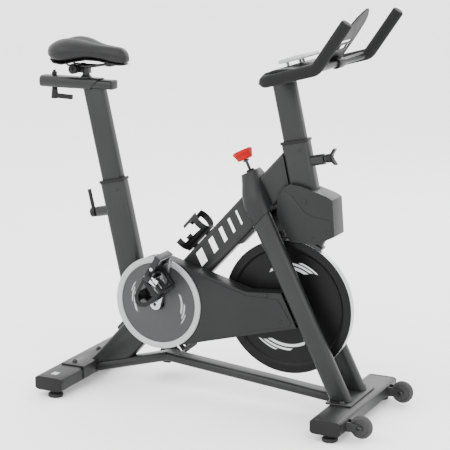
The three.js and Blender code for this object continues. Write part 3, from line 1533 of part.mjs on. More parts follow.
addPiece(
  "handlebar",
  join(
    barSide(-1, BAR_TUBE_RADIUS),
    barSide(1, BAR_TUBE_RADIUS),
    crossRod(barCentre, -5, 5, BAR_TUBE_RADIUS - 1.5, 8),
    crossBarRod(CROSS_BAR_RADIUS),
    handlebarClamp,
  ),
  "charcoal",
);
for (const [hand, sign] of [["R", -1], ["L", 1]]) {
  const foam = cut(
    barSide(sign, FOAM_RADIUS),
    barSide(sign, BAR_TUBE_RADIUS + SLIDE_FIT),
    crossBarRod(CROSS_BAR_RADIUS + 1),
    block(barCentre.x - 60, barCentre.x + 60, -clampHalf, clampHalf, barCentre.y - 60, barCentre.y + 60),
  );
  addPiece(`foam_sleeve_${hand}`, foam, "foam");
}

// Tray that covers the rear of the bar and the clamp
const trayHalf = 150;
const trayWall = 3;
const trayRise = FOAM_RADIUS + 3;
const trayLine = (d, n) => step(step(barCentre, armWay, d), across(armWay), -n);
const trayOutline = (grow) => [
  trayLine(-44, -6 + grow), trayLine(-30, 12 + grow), trayLine(-14, trayRise + grow),
  trayLine(20, trayRise + 3 + grow), trayLine(62, trayRise - 3 + grow), trayLine(92, 10 + grow),
];
const trayShell = sidePlate([...trayOutline(trayWall), ...trayOutline(0).reverse()], -trayHalf, trayHalf);
const trayEnds = [-1, 1].map((sign) => {
  const outer = sign * trayHalf;
  const inner = sign * (trayHalf - trayWall);
  return sidePlate(
    [...trayOutline(0.5), trayLine(92, 6), trayLine(62, FOAM_RADIUS - 2), trayLine(20, FOAM_RADIUS + 1),
      trayLine(-12, FOAM_RADIUS + 1), trayLine(-27, 8), trayLine(-40, -8)],
    Math.min(inner, outer),
    Math.max(inner, outer),
  );
});
addPiece("console_tray", join(trayShell, ...trayEnds), "grey_plastic");

// Small display on three short posts over the tray
const displayLow = trayLine(4, trayRise + trayWall + 14);
const displayPoint = (d, n) => step(step(displayLow, armWay, d), across(armWay), -n);
const displayBox = sidePlate(
  [displayPoint(0, 0), displayPoint(70, 0), displayPoint(74, 4), displayPoint(72, 12), displayPoint(2, 12),
    displayPoint(-3, 5)],
  -75,
  75,
);
const displayPosts = [[16, -48], [16, 48], [48, 0]].map(([d, y]) =>
  rod(place(displayPoint(d, 1), y), place(displayPoint(d, -60), y), 4.5, 10),
);
const trayTopClear = sidePlate(
  [...trayOutline(trayWall + TOUCH_GAP), trayLine(92, -80), trayLine(-44, -80)],
  -trayHalf - 5,
  trayHalf + 5,
);
addPiece(
  "console_display",
  join(displayBox, ...displayPosts.map((post) => post.subtract(trayTopClear))),
  "black_plastic",
);

// Tablet holder: a leaf-shaped plate that tilts on the front cross bar
const holderWay = heading(56);
const holderBack = across(holderWay);
const HOLDER_LENGTH = 190; // above the cross bar
const HOLDER_STEPS = [
  [-34, 44], [-20, 52], [30, 62], [80, 65], [130, 60], [HOLDER_LENGTH - 30, 46],
  [HOLDER_LENGTH - 10, 24], [HOLDER_LENGTH, 8],
];
const holderPoint = (d, n) => step(step(crossBar, holderWay, d), holderBack, n);
const holderOffset = -CROSS_BAR_RADIUS - 4.5;
const holderPlate = loft(
  HOLDER_STEPS.map(([d, half]) => [
    place(holderPoint(d, holderOffset), half), place(holderPoint(d, holderOffset - 4), half),
    place(holderPoint(d, holderOffset - 4), -half), place(holderPoint(d, holderOffset), -half),
  ]),
);
const holderRing = crossRod(crossBar, -24, 24, 17, 18);
const holderLedge = sidePlate(
  [holderPoint(-34, holderOffset), holderPoint(-34, holderOffset - 24), holderPoint(-28, holderOffset - 28),
    holderPoint(-30, holderOffset - 4), holderPoint(-26, holderOffset)],
  -44,
  44,
);
const holderSlot = (d0, d1, y0, y1) =>
  sidePlate(
    [holderPoint(d0, holderOffset + 5), holderPoint(d1, holderOffset + 5), holderPoint(d1, holderOffset - 9),
      holderPoint(d0, holderOffset - 9)],
    y0,
    y1,
  );
addPiece(
  "tablet_holder",
  cut(
    join(holderPlate, holderRing, holderLedge),
    crossRod(crossBar, -60, 60, CROSS_BAR_RADIUS + TURN_FIT, 18),
    holderSlot(40, 56, -46, -30),
    holderSlot(40, 56, -22, 22),
    holderSlot(40, 56, 30, 46),
    holderSlot(64, 74, -40, 40),
  ),
  "black_plastic",
);

// ---------------------------------------------------------------- brake rod and knob

const knobTop = forkAt(KNOB_HEIGHT);
const knobDistance = (z) => (z - rodCross.y) / forkWay.y;
const knobBase = knobDistance(KNOB_HEIGHT - 28);
const rimTop = knobDistance(0);
const padSeat = (() => {
  // distance along the rod at which the pad's face clears the rim
  const toAxle = axle.clone().sub(rodCross);
  const along = toAxle.dot(forkWay);
  const off = Math.abs(toAxle.cross(forkWay));
  const reach = FLYWHEEL_RADIUS + BRAKE_TRAVEL + 2;
  return along + Math.sqrt(reach * reach - off * off);
})();
const padFace = rodAt(padSeat);
const padCurve = crossRod(axle, -30, 30, FLYWHEEL_RADIUS + BRAKE_TRAVEL + 2, 90);
const pad = tube(46, 24, 5, step(padFace, forkWay, -8), step(padFace, forkWay, 15)).subtract(padCurve);
addPiece(
  "brake_rod",
  join(
    pad,
    rod(place(rodAt(padSeat + 8)), place(rodAt(knobBase + 14)), BRAKE_ROD_RADIUS, 14),
    rod(place(rodAt(knobBase - 7)), place(rodAt(knobBase - 1)), 10, 16),
  ),
  "steel",
);
addPiece(
  "brake_knob",
  turned(
    [
      [BRAKE_ROD_RADIUS + TURN_FIT, 0], [23, 0], [24.5, 2], [32.5, 23], [32.5, 27], [29, 31], [0, 32],
      [0, 17], [BRAKE_ROD_RADIUS + TURN_FIT, 17], [BRAKE_ROD_RADIUS + TURN_FIT, 0],
    ],
    place(rodAt(knobBase)),
    place(forkWay),
    24,
  ),
  "red",
);

// ---------------------------------------------------------------- placing the assembly

const bounds = new THREE.Box3().setFromObject(group);
group.position.set(-(bounds.min.x + bounds.max.x) / 2, 0, -bounds.min.z);

export default group;
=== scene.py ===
"""Looks of an upright exercise bike: finishes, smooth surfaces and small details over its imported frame."""

import logging
import math
from dataclasses import dataclass, field
from enum import Enum
from typing import Callable, Optional, Sequence, Union

import bmesh
import bpy
from mathutils import Matrix, Vector


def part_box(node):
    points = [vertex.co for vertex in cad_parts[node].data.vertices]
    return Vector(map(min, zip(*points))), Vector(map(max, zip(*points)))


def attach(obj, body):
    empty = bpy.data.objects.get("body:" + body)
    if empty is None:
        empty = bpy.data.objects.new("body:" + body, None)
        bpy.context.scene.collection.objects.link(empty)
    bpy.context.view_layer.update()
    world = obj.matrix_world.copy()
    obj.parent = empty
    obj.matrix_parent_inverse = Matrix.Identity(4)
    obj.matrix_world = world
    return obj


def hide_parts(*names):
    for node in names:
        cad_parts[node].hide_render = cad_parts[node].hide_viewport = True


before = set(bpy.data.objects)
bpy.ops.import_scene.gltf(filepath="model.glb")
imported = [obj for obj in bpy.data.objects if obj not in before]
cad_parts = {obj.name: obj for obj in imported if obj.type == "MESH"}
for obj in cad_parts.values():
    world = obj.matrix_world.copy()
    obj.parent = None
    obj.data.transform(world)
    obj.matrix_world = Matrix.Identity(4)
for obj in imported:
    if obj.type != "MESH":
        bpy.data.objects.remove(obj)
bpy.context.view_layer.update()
log = logging.getLogger("bike")

Number = Union[float, "Value"]
Point = tuple[float, float, float]
Outline = Sequence[tuple[float, float]]
MM = 0.001
HANDS = (("R", -1.0), ("L", 1.0))
CORNERS = [f"{end}_{hand}" for end in ("rear", "front") for hand, _ in HANDS]


# ---------------------------------------------------------------- shader expressions


def arithmetic(operation: str, flip: bool = False) -> Callable[["Value", Number], "Value"]:
    """Makes the method behind an arithmetic sign.

    Args:
        operation: the Math node's operation.
        flip: puts the value after the other operand.

    Returns:
        The method.
    """

    def method(value: "Value", other: Number) -> "Value":
        """Adds the Math node."""
        return value.math(operation, other, flip=flip)

    return method


class Value:
    """A socket that carries a number, with arithmetic that adds Math nodes."""

    def __init__(self, graph: "Graph", socket: bpy.types.NodeSocket) -> None:
        """Keeps the graph and the socket.

        Args:
            graph: the graph that the socket belongs to.
            socket: an output socket.
        """
        self.graph = graph
        self.socket = socket

    def math(self, operation: str, *others: Number, flip: bool = False) -> "Value":
        """Adds one Math node.

        Args:
            operation: the node's operation.
            others: further operands.
            flip: puts this value after the others.

        Returns:
            The node's result.
        """
        operands = [*others, self] if flip else [self, *others]
        return self.graph.add("ShaderNodeMath", {"operation": operation}, dict(enumerate(operands)))

    __add__ = arithmetic("ADD")
    __radd__ = arithmetic("ADD", flip=True)
    __sub__ = arithmetic("SUBTRACT")
    __rsub__ = arithmetic("SUBTRACT", flip=True)
    __mul__ = arithmetic("MULTIPLY")
    __rmul__ = arithmetic("MULTIPLY", flip=True)
    __truediv__ = arithmetic("DIVIDE")
    __gt__ = arithmetic("GREATER_THAN")

    def clamp(self) -> "Value":
        """Held between zero and one."""
        return self.math("MAXIMUM", 0.0).math("MINIMUM", 1.0)

    def band(self, centre: float, half: float, soft: float) -> "Value":
        """A soft band round a value.

        Args:
            centre: middle of the band.
            half: half its width.
            soft: width of its soft edge.

        Returns:
            One inside the band, falling to zero.
        """
        return ((half + soft - (self - centre).math("ABSOLUTE")) / soft).clamp()


class Graph:
    """A material's node tree with its output shader."""

    def __init__(self, name: str) -> None:
        """Makes an empty material.

        Args:
            name: the material's name.
        """
        self.material = bpy.data.materials.new(name)
        self.material.use_nodes = True
        self.tree = self.material.node_tree
        self.tree.nodes.clear()
        self.shader = self.tree.nodes.new("ShaderNodeBsdfPrincipled")
        output = self.tree.nodes.new("ShaderNodeOutputMaterial")
        self.tree.links.new(self.shader.outputs[0], output.inputs[0])
        where = self.tree.nodes.new("ShaderNodeTexCoord")
        self.where = where.outputs["Object"]

    def add(self, kind: str, settings: dict, inputs: dict, output: Union[int, str] = 0) -> Value:
        """Adds any node: its settings first, then its sockets.

        Args:
            kind: the node's type.
            settings: attributes set before the sockets.
            inputs: numbers, colours or links by socket name or index.
            output: which result to return.

        Returns:
            The chosen output.
        """
        node = self.tree.nodes.new(kind)
        for key, setting in settings.items():
            setattr(node, key, setting)
        for key, given in inputs.items():
            self.feed(node.inputs[key], given)
        return Value(self, node.outputs[output])

    def feed(self, socket: bpy.types.NodeSocket, given: object) -> None:
        """Links or sets one input socket.

        Args:
            socket: the input.
            given: a Value, an output socket, a number or a tuple.
        """
        if isinstance(given, Value):
            self.tree.links.new(given.socket, socket)
        elif isinstance(given, bpy.types.NodeSocket):
            self.tree.links.new(given, socket)
        else:
            socket.default_value = given

    def noise(self, scale: float, detail: float = 3.0, stretch: Point = (1.0, 1.0, 1.0)) -> Value:
        """Fractal noise over the object's own coordinates.

        Args:
            scale: cells in a metre.
            detail: octaves.
            stretch: scale along each axis.

        Returns:
            The noise, about 0.5 in the mean.
        """
        at = self.add("ShaderNodeMapping", {}, {"Vector": self.where, "Scale": stretch})
        return self.add(
            "ShaderNodeTexNoise", {"noise_dimensions": "3D"}, {"Vector": at, "Scale": scale, "Detail": detail}
        )

    def cells(self, scale: float) -> Value:
        """Distance to the nearest cell centre, for foam and grained leather."""
        return self.add(
            "ShaderNodeTexVoronoi", {"feature": "F1"}, {"Vector": self.where, "Scale": scale}, "Distance"
        )

    def axis(self, index: int) -> Value:
        """One of the object's own coordinates, in metres."""
        return self.add("ShaderNodeSeparateXYZ", {}, {0: self.where}, index)

    def blend(self, factor: Number, first: object, second: object) -> Value:
        """Mixes two colours.

        Args:
            factor: zero for the first, one for the second.
            first: colour or link.
            second: colour or link.

        Returns:
            The mixed colour.
        """
        return self.add(
            "ShaderNodeMix",
            {"data_type": "RGBA"},
            {"Factor": factor, 6: self.opaque(first), 7: self.opaque(second)},
            2,
        )

    @staticmethod
    def opaque(color: object) -> object:
        """A colour with its alpha, or a link unchanged."""
        return (*color, 1.0) if isinstance(color, tuple) and len(color) == 3 else color

    def polar(self, centre: Vector) -> tuple[Value, Value]:
        """Place round an axis that runs across the bike.

        Args:
            centre: a point of the axis.

        Returns:
            The radius in metres, and the angle in turns.
        """
        x = self.axis(0) - centre.x
        z = self.axis(2) - centre.z
        return (x * x + z * z).math("SQRT"), z.math("ARCTAN2", x) / math.tau

    def slashes(self, radius: Value, swirl: Value, rows: Sequence[tuple], soft: float) -> Value:
        """Painted highlights: light curved slashes round an axis.

        Args:
            radius: distance from the axis.
            swirl: the angle, wound up with the radius.
            rows: shift, half length, radius and half width of each slash.
            soft: softness of a slash's ends.

        Returns:
            One on a slash, falling to zero.
        """
        mask = swirl * 0.0
        for shift, half, middle, depth in rows:
            phase = (swirl + shift).math("FRACT")
            mask = mask.math("MAXIMUM", phase.band(0.5, half, soft) * radius.band(middle, depth, 0.0012))
        return mask

    def bump(self, height: Value, strength: float, distance: float) -> None:
        """Feeds the shader's normal from a height.

        Args:
            height: the height field.
            strength: how much of it shows.
            distance: depth in metres.
        """
        normal = self.add(
            "ShaderNodeBump", {}, {"Height": height, "Strength": strength, "Distance": distance}
        )
        self.feed(self.shader.inputs["Normal"], normal)

    def surface(self, **sockets: object) -> None:
        """Sets the shader's sockets, with underscores for spaces in their names."""
        for key, given in sockets.items():
            socket = self.shader.inputs[key.replace("_", " ")]
            self.feed(socket, self.opaque(given))


class Grain(Enum):
    """Kinds of surface."""

    PAINT = "paint"
    MOULDED = "moulded"
    GLOSS = "gloss"
    METAL = "metal"
    FOAM = "foam"
    VINYL = "vinyl"
    RUBBER = "rubber"
    WEBBING = "webbing"


@dataclass(frozen=True)
class Finish:
    """A finish with its colour, gloss and grain.

    Attributes:
        name: the material's name.
        slot: name of a material slot; not used.
        grain: the kind of surface.
        color: linear colour.
        roughness: mean roughness.
        metallic: how metallic it is.
        sheen: strength of the plain reflection.
    """

    name: str
    slot: str
    grain: Grain
    color: Point
    roughness: float
    metallic: float = 0.0
    sheen: float = 0.3

    def material(self) -> bpy.types.Material:
        """The finish as a material, made once.

        Returns:
            The material.
        """
        ready = bpy.data.materials.get(self.name)
        return ready if ready else self.paint(Graph(self.name)).material

    def paint(self, graph: Graph) -> Graph:
        """Builds the common surface of this grain.

        Args:
            graph: an empty graph.

        Returns:
            The same graph.
        """
        light = tuple(min(1.0, c * 1.22 + 0.0015) for c in self.color)
        dark = tuple(c * 0.82 for c in self.color)
        broad = graph.noise(9.0, 4.0)
        fine = graph.noise(420.0, 3.0)
        mottle = (broad * 0.6 + fine * 0.4 - 0.25) * 2.0
        color = graph.blend(mottle.clamp(), dark, light)
        graph.surface(Metallic=self.metallic, Specular_IOR_Level=self.sheen)
        rough = self.roughness + (broad - 0.5) * 0.16
        if self.grain is Grain.PAINT:
            peel = graph.noise(620.0, 2.0) + graph.noise(2600.0, 2.0) * 0.5
            graph.bump(peel, 0.16, 0.0006)
            dust = ((0.16 - graph.axis(2)) * 5.0).clamp() * graph.noise(60.0, 5.0)
            color = graph.blend(dust * 0.10, color, (0.12, 0.12, 0.115))
            rough = rough + dust * 0.2
            graph.surface(Coat_Roughness=0.3, Coat_Weight=0.12)
        elif self.grain is Grain.MOULDED:
            graph.bump(graph.noise(1500.0, 3.0), 0.30, 0.0005)
        elif self.grain is Grain.GLOSS:
            graph.bump(graph.noise(260.0, 2.0), 0.05, 0.0005)
            graph.surface(Coat_Weight=0.18, Coat_Roughness=0.15)
        elif self.grain is Grain.METAL:
            brushed = graph.noise(240.0, 3.0, (1.0, 9.0, 9.0))
            scratches = graph.noise(900.0, 2.0, (8.0, 0.6, 0.6))
            graph.bump(brushed + scratches * 0.4, 0.10, 0.0004)
            rough = rough + (brushed - 0.5) * 0.2
        elif self.grain is Grain.FOAM:
            pores = graph.cells(1100.0)
            graph.bump(pores + graph.noise(500.0, 3.0) * 0.7, 0.55, 0.0012)
            color = graph.blend((pores * 1.4).clamp(), dark, light)
        elif self.grain is Grain.VINYL:
            leather = graph.cells(620.0)
            graph.bump(leather + graph.noise(1900.0, 2.0) * 0.3, 0.34, 0.0009)
            rough = rough + (leather - 0.4) * 0.12
        elif self.grain is Grain.RUBBER:
            graph.bump(graph.noise(800.0, 4.0), 0.30, 0.0006)
        else:
            ribs = graph.add(
                "ShaderNodeTexWave",
                {"wave_type": "BANDS", "bands_direction": "DIAGONAL"},
                {"Vector": graph.where, "Scale": 260.0, "Distortion": 0.6},
                1,
            )
            graph.bump(ribs, 0.5, 0.0008)
            color = graph.blend(ribs * 0.5, color, light)
        graph.surface(Base_Color=color, Roughness=rough.clamp())
        return graph


class Finishes:
    """Every finish of the bike."""

    PAINT = Finish(
        "satin_charcoal_paint", "frame_paint", Grain.PAINT, (0.0082, 0.0084, 0.0087), 0.42, 0.0, 0.2
    )
    COVER = Finish(
        "satin_charcoal_cover", "frame_plastic", Grain.MOULDED, (0.0080, 0.0082, 0.0086), 0.44, 0.0, 0.2
    )
    GUARD = Finish("satin_guard", "guard_plastic", Grain.MOULDED, (0.0072, 0.0074, 0.0078), 0.42, 0.0, 0.2)
    BLACK = Finish("black_moulding", "black_plastic", Grain.MOULDED, (0.0030, 0.0030, 0.0032), 0.42, 0.0, 0.2)
    GREY = Finish("grey_moulding", "grey_plastic", Grain.MOULDED, (0.012, 0.0122, 0.0128), 0.40, 0.0, 0.25)
    SILVER = Finish("silver_moulding", "silver_plastic", Grain.GLOSS, (0.30, 0.305, 0.31), 0.36, 0.15)
    STEEL = Finish("brushed_steel", "steel", Grain.METAL, (0.50, 0.51, 0.52), 0.32, 1.0)
    BOLT = Finish("black_zinc", "steel", Grain.METAL, (0.035, 0.035, 0.037), 0.38, 1.0)
    CRANK = Finish("forged_crank", "crank_metal", Grain.METAL, (0.40, 0.41, 0.42), 0.34, 1.0)
    PEDAL = Finish("cast_pedal", "pedal_metal", Grain.METAL, (0.030, 0.030, 0.032), 0.36, 1.0)
    RED = Finish("red_knob", "red_plastic", Grain.MOULDED, (0.30, 0.0006, 0.0004), 0.46, 0.0, 0.12)
    FOAM = Finish("closed_cell_foam", "grip_foam", Grain.FOAM, (0.0042, 0.0042, 0.0046), 0.80, 0.0, 0.2)
    VINYL = Finish("saddle_vinyl", "saddle_cover", Grain.VINYL, (0.0046, 0.0046, 0.0052), 0.44, 0.0, 0.25)
    TRIM = Finish("saddle_side_vinyl", "saddle_cover", Grain.VINYL, (0.0085, 0.0085, 0.0095), 0.42, 0.0, 0.25)
    RUBBER = Finish("black_rubber", "foot_rubber", Grain.RUBBER, (0.0060, 0.0060, 0.0060), 0.66)
    TREAD = Finish("wheel_rubber", "wheel_rubber", Grain.RUBBER, (0.0065, 0.0065, 0.0070), 0.52)
    BELT = Finish("belt_rubber", "belt_rubber", Grain.RUBBER, (0.015, 0.015, 0.015), 0.6)
    STRAP = Finish("strap_webbing", "black_plastic", Grain.WEBBING, (0.0075, 0.0075, 0.0085), 0.7)
    GLASS = Finish("display_window", "display_plastic", Grain.GLOSS, (0.020, 0.024, 0.024), 0.12)
    SHELL = Finish("display_shell", "display_plastic", Grain.GLOSS, (0.36, 0.37, 0.38), 0.34, 0.3)
    MARK = Finish("white_marking", "silver_plastic", Grain.GLOSS, (0.80, 0.80, 0.80), 0.42)


# ---------------------------------------------------------------- mesh making


class Form:
    """A mesh under construction, shaped by bmesh operators."""

    def __init__(self) -> None:
        """Starts empty."""
        self.bm = bmesh.new()

    @classmethod
    def of_node(cls, node: str) -> "Form":
        """A merged copy of a frame node.

        Args:
            node: the node's name.

        Returns:
            The copy as a form.
        """
        form = cls()
        form.bm.from_mesh(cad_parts[node].data)
        bmesh.ops.remove_doubles(form.bm, verts=form.bm.verts, dist=1e-5)
        bmesh.ops.dissolve_limit(
            form.bm, angle_limit=math.radians(0.6), verts=form.bm.verts, edges=form.bm.edges
        )
        return form

    def ring_edges(self, centre: Vector, frame_matrix: Matrix, outline: Outline) -> list:
        """Adds a closed ring of vertices in a plane.

        Args:
            centre: the plane's origin.
            frame_matrix: its axes as columns; the third is the normal.
            outline: points in the first two axes.

        Returns:
            The ring's edges.
        """
        verts = [self.bm.verts.new(centre + frame_matrix @ Vector((u, v, 0.0))) for u, v in outline]
        return [self.bm.edges.new((verts[i], verts[(i + 1) % len(verts)])) for i in range(len(verts))]

    def lathe(
        self, profile: Outline, centre: Vector, axis: Vector, steps: int = 48
    ) -> "Form":
        """Spins a profile of radius and height round an axis.

        Args:
            profile: (radius, height) pairs in metres.
            centre: where height is zero.
            axis: the direction of height.
            steps: steps in the full turn.

        Returns:
            This form.
        """
        away = axis.orthogonal().normalized()
        way = axis.normalized()
        verts = [self.bm.verts.new(centre + away * r + way * h) for r, h in profile]
        edges = [self.bm.edges.new(pair) for pair in zip(verts, verts[1:])]
        bmesh.ops.spin(
            self.bm, geom=verts + edges, cent=centre, axis=way, angle=math.tau, steps=steps,
            use_merge=True, dvec=(0.0, 0.0, 0.0),
        )
        bmesh.ops.remove_doubles(self.bm, verts=self.bm.verts, dist=1e-6)
        return self

    def prism(self, outline: Outline, y0: float, y1: float) -> "Form":
        """Extrudes a side-view outline across the bike.

        Args:
            outline: (x, z) points in metres.
            y0: first side.
            y1: second side.

        Returns:
            This form.
        """
        verts = [self.bm.verts.new((x, y0, z)) for x, z in outline]
        face = self.bm.faces.new(verts)
        made = bmesh.ops.extrude_face_region(self.bm, geom=[face])
        moved = [g for g in made["geom"] if isinstance(g, bmesh.types.BMVert)]
        bmesh.ops.translate(self.bm, verts=moved, vec=(0.0, y1 - y0, 0.0))
        return self

    def sweep(
        self, path: Sequence[Vector], outline: Outline, closed: bool = False
    ) -> "Form":
        """Carries an outline along a path, extruding ring by ring.

        Args:
            path: points in metres.
            outline: the section, in the plane across the path.
            closed: joins the end to the start.

        Returns:
            This form.
        """
        count = len(path)
        normal: Optional[Vector] = None
        edges: list = []
        first: list = []
        before: Optional[Matrix] = None
        for index, point in enumerate(path):
            back = path[index - 1] if index or closed else point
            ahead = path[(index + 1) % count] if index + 1 < count or closed else point
            way = (ahead - back).normalized()
            if normal is None:
                normal = way.orthogonal().normalized()
                if abs(way.y) < 0.9:
                    normal = way.cross(Vector((0.0, 1.0, 0.0))).normalized()
            normal = (normal - way * normal.dot(way)).normalized()
            turned = Matrix((normal, way.cross(normal), way)).transposed()
            now = Matrix.Translation(point) @ turned.to_4x4()
            if before is None:
                edges = self.ring_edges(point, turned, outline)
                first = edges
            else:
                made = bmesh.ops.extrude_edge_only(self.bm, edges=edges)
                verts = [g for g in made["geom"] if isinstance(g, bmesh.types.BMVert)]
                edges = [g for g in made["geom"] if isinstance(g, bmesh.types.BMEdge) and g.is_boundary]
                bmesh.ops.transform(self.bm, matrix=now @ before.inverted(), verts=verts)
            before = now
        if closed:
            bmesh.ops.bridge_loops(self.bm, edges=first + edges)
        else:
            self.close(first, edges)
        return self

    def close(self, *loops: list) -> None:
        """Closes open rings with one face each."""
        for loop in loops:
            bmesh.ops.contextual_create(self.bm, geom=loop)

    def loft(self, rings: Sequence[Sequence[Vector]]) -> "Form":
        """Skins closed rings of equal count, extruding one from the last.

        Args:
            rings: the rings' points.

        Returns:
            This form.
        """
        verts = [self.bm.verts.new(point) for point in rings[0]]
        edges = [self.bm.edges.new((verts[i], verts[(i + 1) % len(verts)])) for i in range(len(verts))]
        first = edges
        order = {vert: index for index, vert in enumerate(verts)}
        for ring in rings[1:]:
            made = bmesh.ops.extrude_edge_only(self.bm, edges=edges)
            edges = [g for g in made["geom"] if isinstance(g, bmesh.types.BMEdge) and g.is_boundary]
            after = {}
            for vert in (g for g in made["geom"] if isinstance(g, bmesh.types.BMVert)):
                for edge in vert.link_edges:
                    if edge.other_vert(vert) in order:
                        after[vert] = order[edge.other_vert(vert)]
            for vert, index in after.items():
                vert.co = ring[index]
            order = after
        self.close(first, edges)
        return self

    def block(
        self, low: Point, high: Point, turn: Optional[Matrix] = None, at: Optional[Vector] = None
    ) -> "Form":
        """Adds a box, turned and placed.

        Args:
            low: lowest corner before turning.
            high: highest corner before turning.
            turn: rotation.
            at: place of the turned origin.

        Returns:
            This form.
        """
        size = Vector(high) - Vector(low)
        middle = (Vector(high) + Vector(low)) / 2.0
        made = bmesh.ops.create_cube(self.bm, size=1.0)
        matrix = Matrix.Translation(at or Vector()) @ (turn or Matrix.Identity(3)).to_4x4()
        matrix = matrix @ Matrix.Translation(middle) @ Matrix.Diagonal((*size, 1.0))
        bmesh.ops.transform(self.bm, matrix=matrix, verts=made["verts"])
        return self

    def soften(self, width: float, segments: int = 2, angle: float = 28.0) -> "Form":
        """Rounds the sharp edges.

        Args:
            width: bevel width in metres.
            segments: bevel segments.
            angle: sharpest fold in degrees left as it is.

        Returns:
            This form.
        """
        bmesh.ops.recalc_face_normals(self.bm, faces=self.bm.faces)
        sharp = [
            edge for edge in self.bm.edges
            if len(edge.link_faces) == 2 and edge.calc_face_angle(0.0) > math.radians(angle)
        ]
        bmesh.ops.bevel(
            self.bm, geom=sharp, offset=width, offset_type="OFFSET", affect="EDGES", segments=segments,
            profile=0.5, material=-1, clamp_overlap=True,
        )
        return self

    def made(
        self, name: str, body: str, finish: Finish, stands_for: Sequence[str] = (), smooth: float = 34.0
    ) -> bpy.types.Object:
        """Turns the form into a finished piece that rides on a body.

        Args:
            name: the piece's name.
            body: the body that carries it.
            finish: its finish.
            stands_for: frame nodes that it replaces.
            smooth: faces that meet at less than this many degrees shade as one.

        Returns:
            The object.
        """
        bmesh.ops.recalc_face_normals(self.bm, faces=self.bm.faces)
        mesh = bpy.data.meshes.new(name)
        self.bm.to_mesh(mesh)
        self.bm.free()
        mesh.polygons.foreach_set("use_smooth", [True] * len(mesh.polygons))
        mesh.set_sharp_from_angle(angle=math.radians(smooth))
        piece = bpy.data.objects.new(name, mesh)
        bpy.context.scene.collection.objects.link(piece)
        mesh.materials.append(finish.material())
        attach(piece, body)
        if stands_for:
            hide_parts(*stands_for)
        return piece


def circle(radius: float, sides: int = 20) -> list[tuple[float, float]]:
    """A round section.

    Args:
        radius: its radius in metres.
        sides: its sides.

    Returns:
        The section's points.
    """
    angles = [math.tau * i / sides for i in range(sides)]
    return [(radius * math.cos(angle), radius * math.sin(angle)) for angle in angles]


def rounded_path(points: Sequence[Vector], radius: float, steps: int = 8) -> list[Vector]:
    """Straight runs with rounded corners.

    Args:
        points: the corners.
        radius: corner radius in metres.
        steps: steps in each corner.

    Returns:
        The path's points.
    """
    path = [points[0]]
    for before, corner, after in zip(points, points[1:], points[2:]):
        back = (before - corner).normalized()
        ahead = (after - corner).normalized()
        trim = radius / math.tan(back.angle(ahead) / 2.0)
        enter, leave = corner + back * trim, corner + ahead * trim
        for i in range(steps + 1):
            t = i / steps
            path.append(enter * (1 - t) ** 2 + corner * 2 * t * (1 - t) + leave * t * t)
    path.append(points[-1])
    return path


def centre_of(node: str) -> Vector:
    """Middle of a frame node's box.

    Args:
        node: the node's name.

    Returns:
        The middle.
    """
    low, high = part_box(node)
    return (low + high) / 2.0


@dataclass
class Layout:
    """Places and directions that several sub-assemblies share.

    Attributes:
        lean: rearward run for each unit of rise of the two posts.
        fork_lean: the same for the fork.
        seat_mouth: height of the seat tube's mouth.
        seat_reach: its middle, ahead of the rear end caps.
        head_mouth: height of the head tube's mouth.
        head_reach: its middle, behind the front end caps.
        fork_reach: foot of the fork's centre line, ahead of the front end caps.
        main_start: foot of the main tube's centre line, ahead of the rear end caps, and its height.
        across: from the rider's right to the left.
    """

    lean: float = 0.2217
    fork_lean: float = 0.4973
    seat_mouth: float = 0.688
    seat_reach: float = 0.1193
    head_mouth: float = 0.818
    head_reach: float = 0.1975
    fork_reach: float = 0.017
    main_start: tuple[float, float] = (0.068, 0.044)
    across: Vector = field(default_factory=lambda: Vector((0.0, 1.0, 0.0)))

    def __post_init__(self) -> None:
        """Reads the places from the frame."""
        self.crank = centre_of("guard_ring")
        self.crank.y = 0.0
        self.axle = centre_of("flywheel")
        self.axle.y = 0.0
        self.post_ahead = Vector((1.0, 0.0, self.lean)).normalized()
        self.fork_way = Vector((-self.fork_lean, 0.0, 1.0)).normalized()
        self.fork_ahead = Vector((1.0, 0.0, self.fork_lean)).normalized()
        self.rear_x = centre_of("end_cap_rear_R").x
        self.front_x = centre_of("end_cap_front_R").x
        ahead, height = self.main_start
        self.main_foot = Vector((self.rear_x + ahead, 0.0, height))
        self.main_way = (self.head_at(self.head_mouth) - self.main_foot).normalized()
        self.main_up = Vector((-self.main_way.z, 0.0, self.main_way.x))

    def main_at(self, z: float) -> Vector:
        """Point of the main tube's centre line at a height.

        Args:
            z: height in metres.

        Returns:
            The point.
        """
        return self.main_foot + self.main_way * ((z - self.main_foot.z) / self.main_way.z)

    def fork_at(self, z: float) -> Vector:
        """Point of the fork's centre line at a height in metres."""
        return Vector((self.front_x + self.fork_reach - z * self.fork_lean, 0.0, z))

    def seat_at(self, z: float) -> Vector:
        """Point of the seat post's centre line at a height in metres."""
        return Vector((self.rear_x + self.seat_reach - (z - self.seat_mouth) * self.lean, 0.0, z))

    def head_at(self, z: float) -> Vector:
        """Point of the handlebar post's centre line at a height in metres."""
        return Vector((self.front_x - self.head_reach - (z - self.head_mouth) * self.lean, 0.0, z))


def screw(
    name: str, at: Vector, way: Vector, body: str, radius: float = 0.006, finish: Finish = Finishes.BOLT
) -> bpy.types.Object:
    """A domed screw head with a hexagon socket.

    Args:
        name: the piece's name.
        at: where it seats.
        way: the direction it faces.
        body: the body that carries it.
        radius: head radius in metres.
        finish: its finish.

    Returns:
        The screw.
    """
    rise = radius * 0.55
    form = Form().lathe(
        [(0.0, -0.001), (radius, -0.001), (radius, rise * 0.4), (radius * 0.86, rise * 0.85),
         (radius * 0.5, rise), (radius * 0.46, rise), (radius * 0.44, rise * 0.3), (0.0, rise * 0.3)],
        at, way, 18,
    )
    return form.made(name, body, finish, smooth=50.0)


# ---------------------------------------------------------------- sub-assemblies


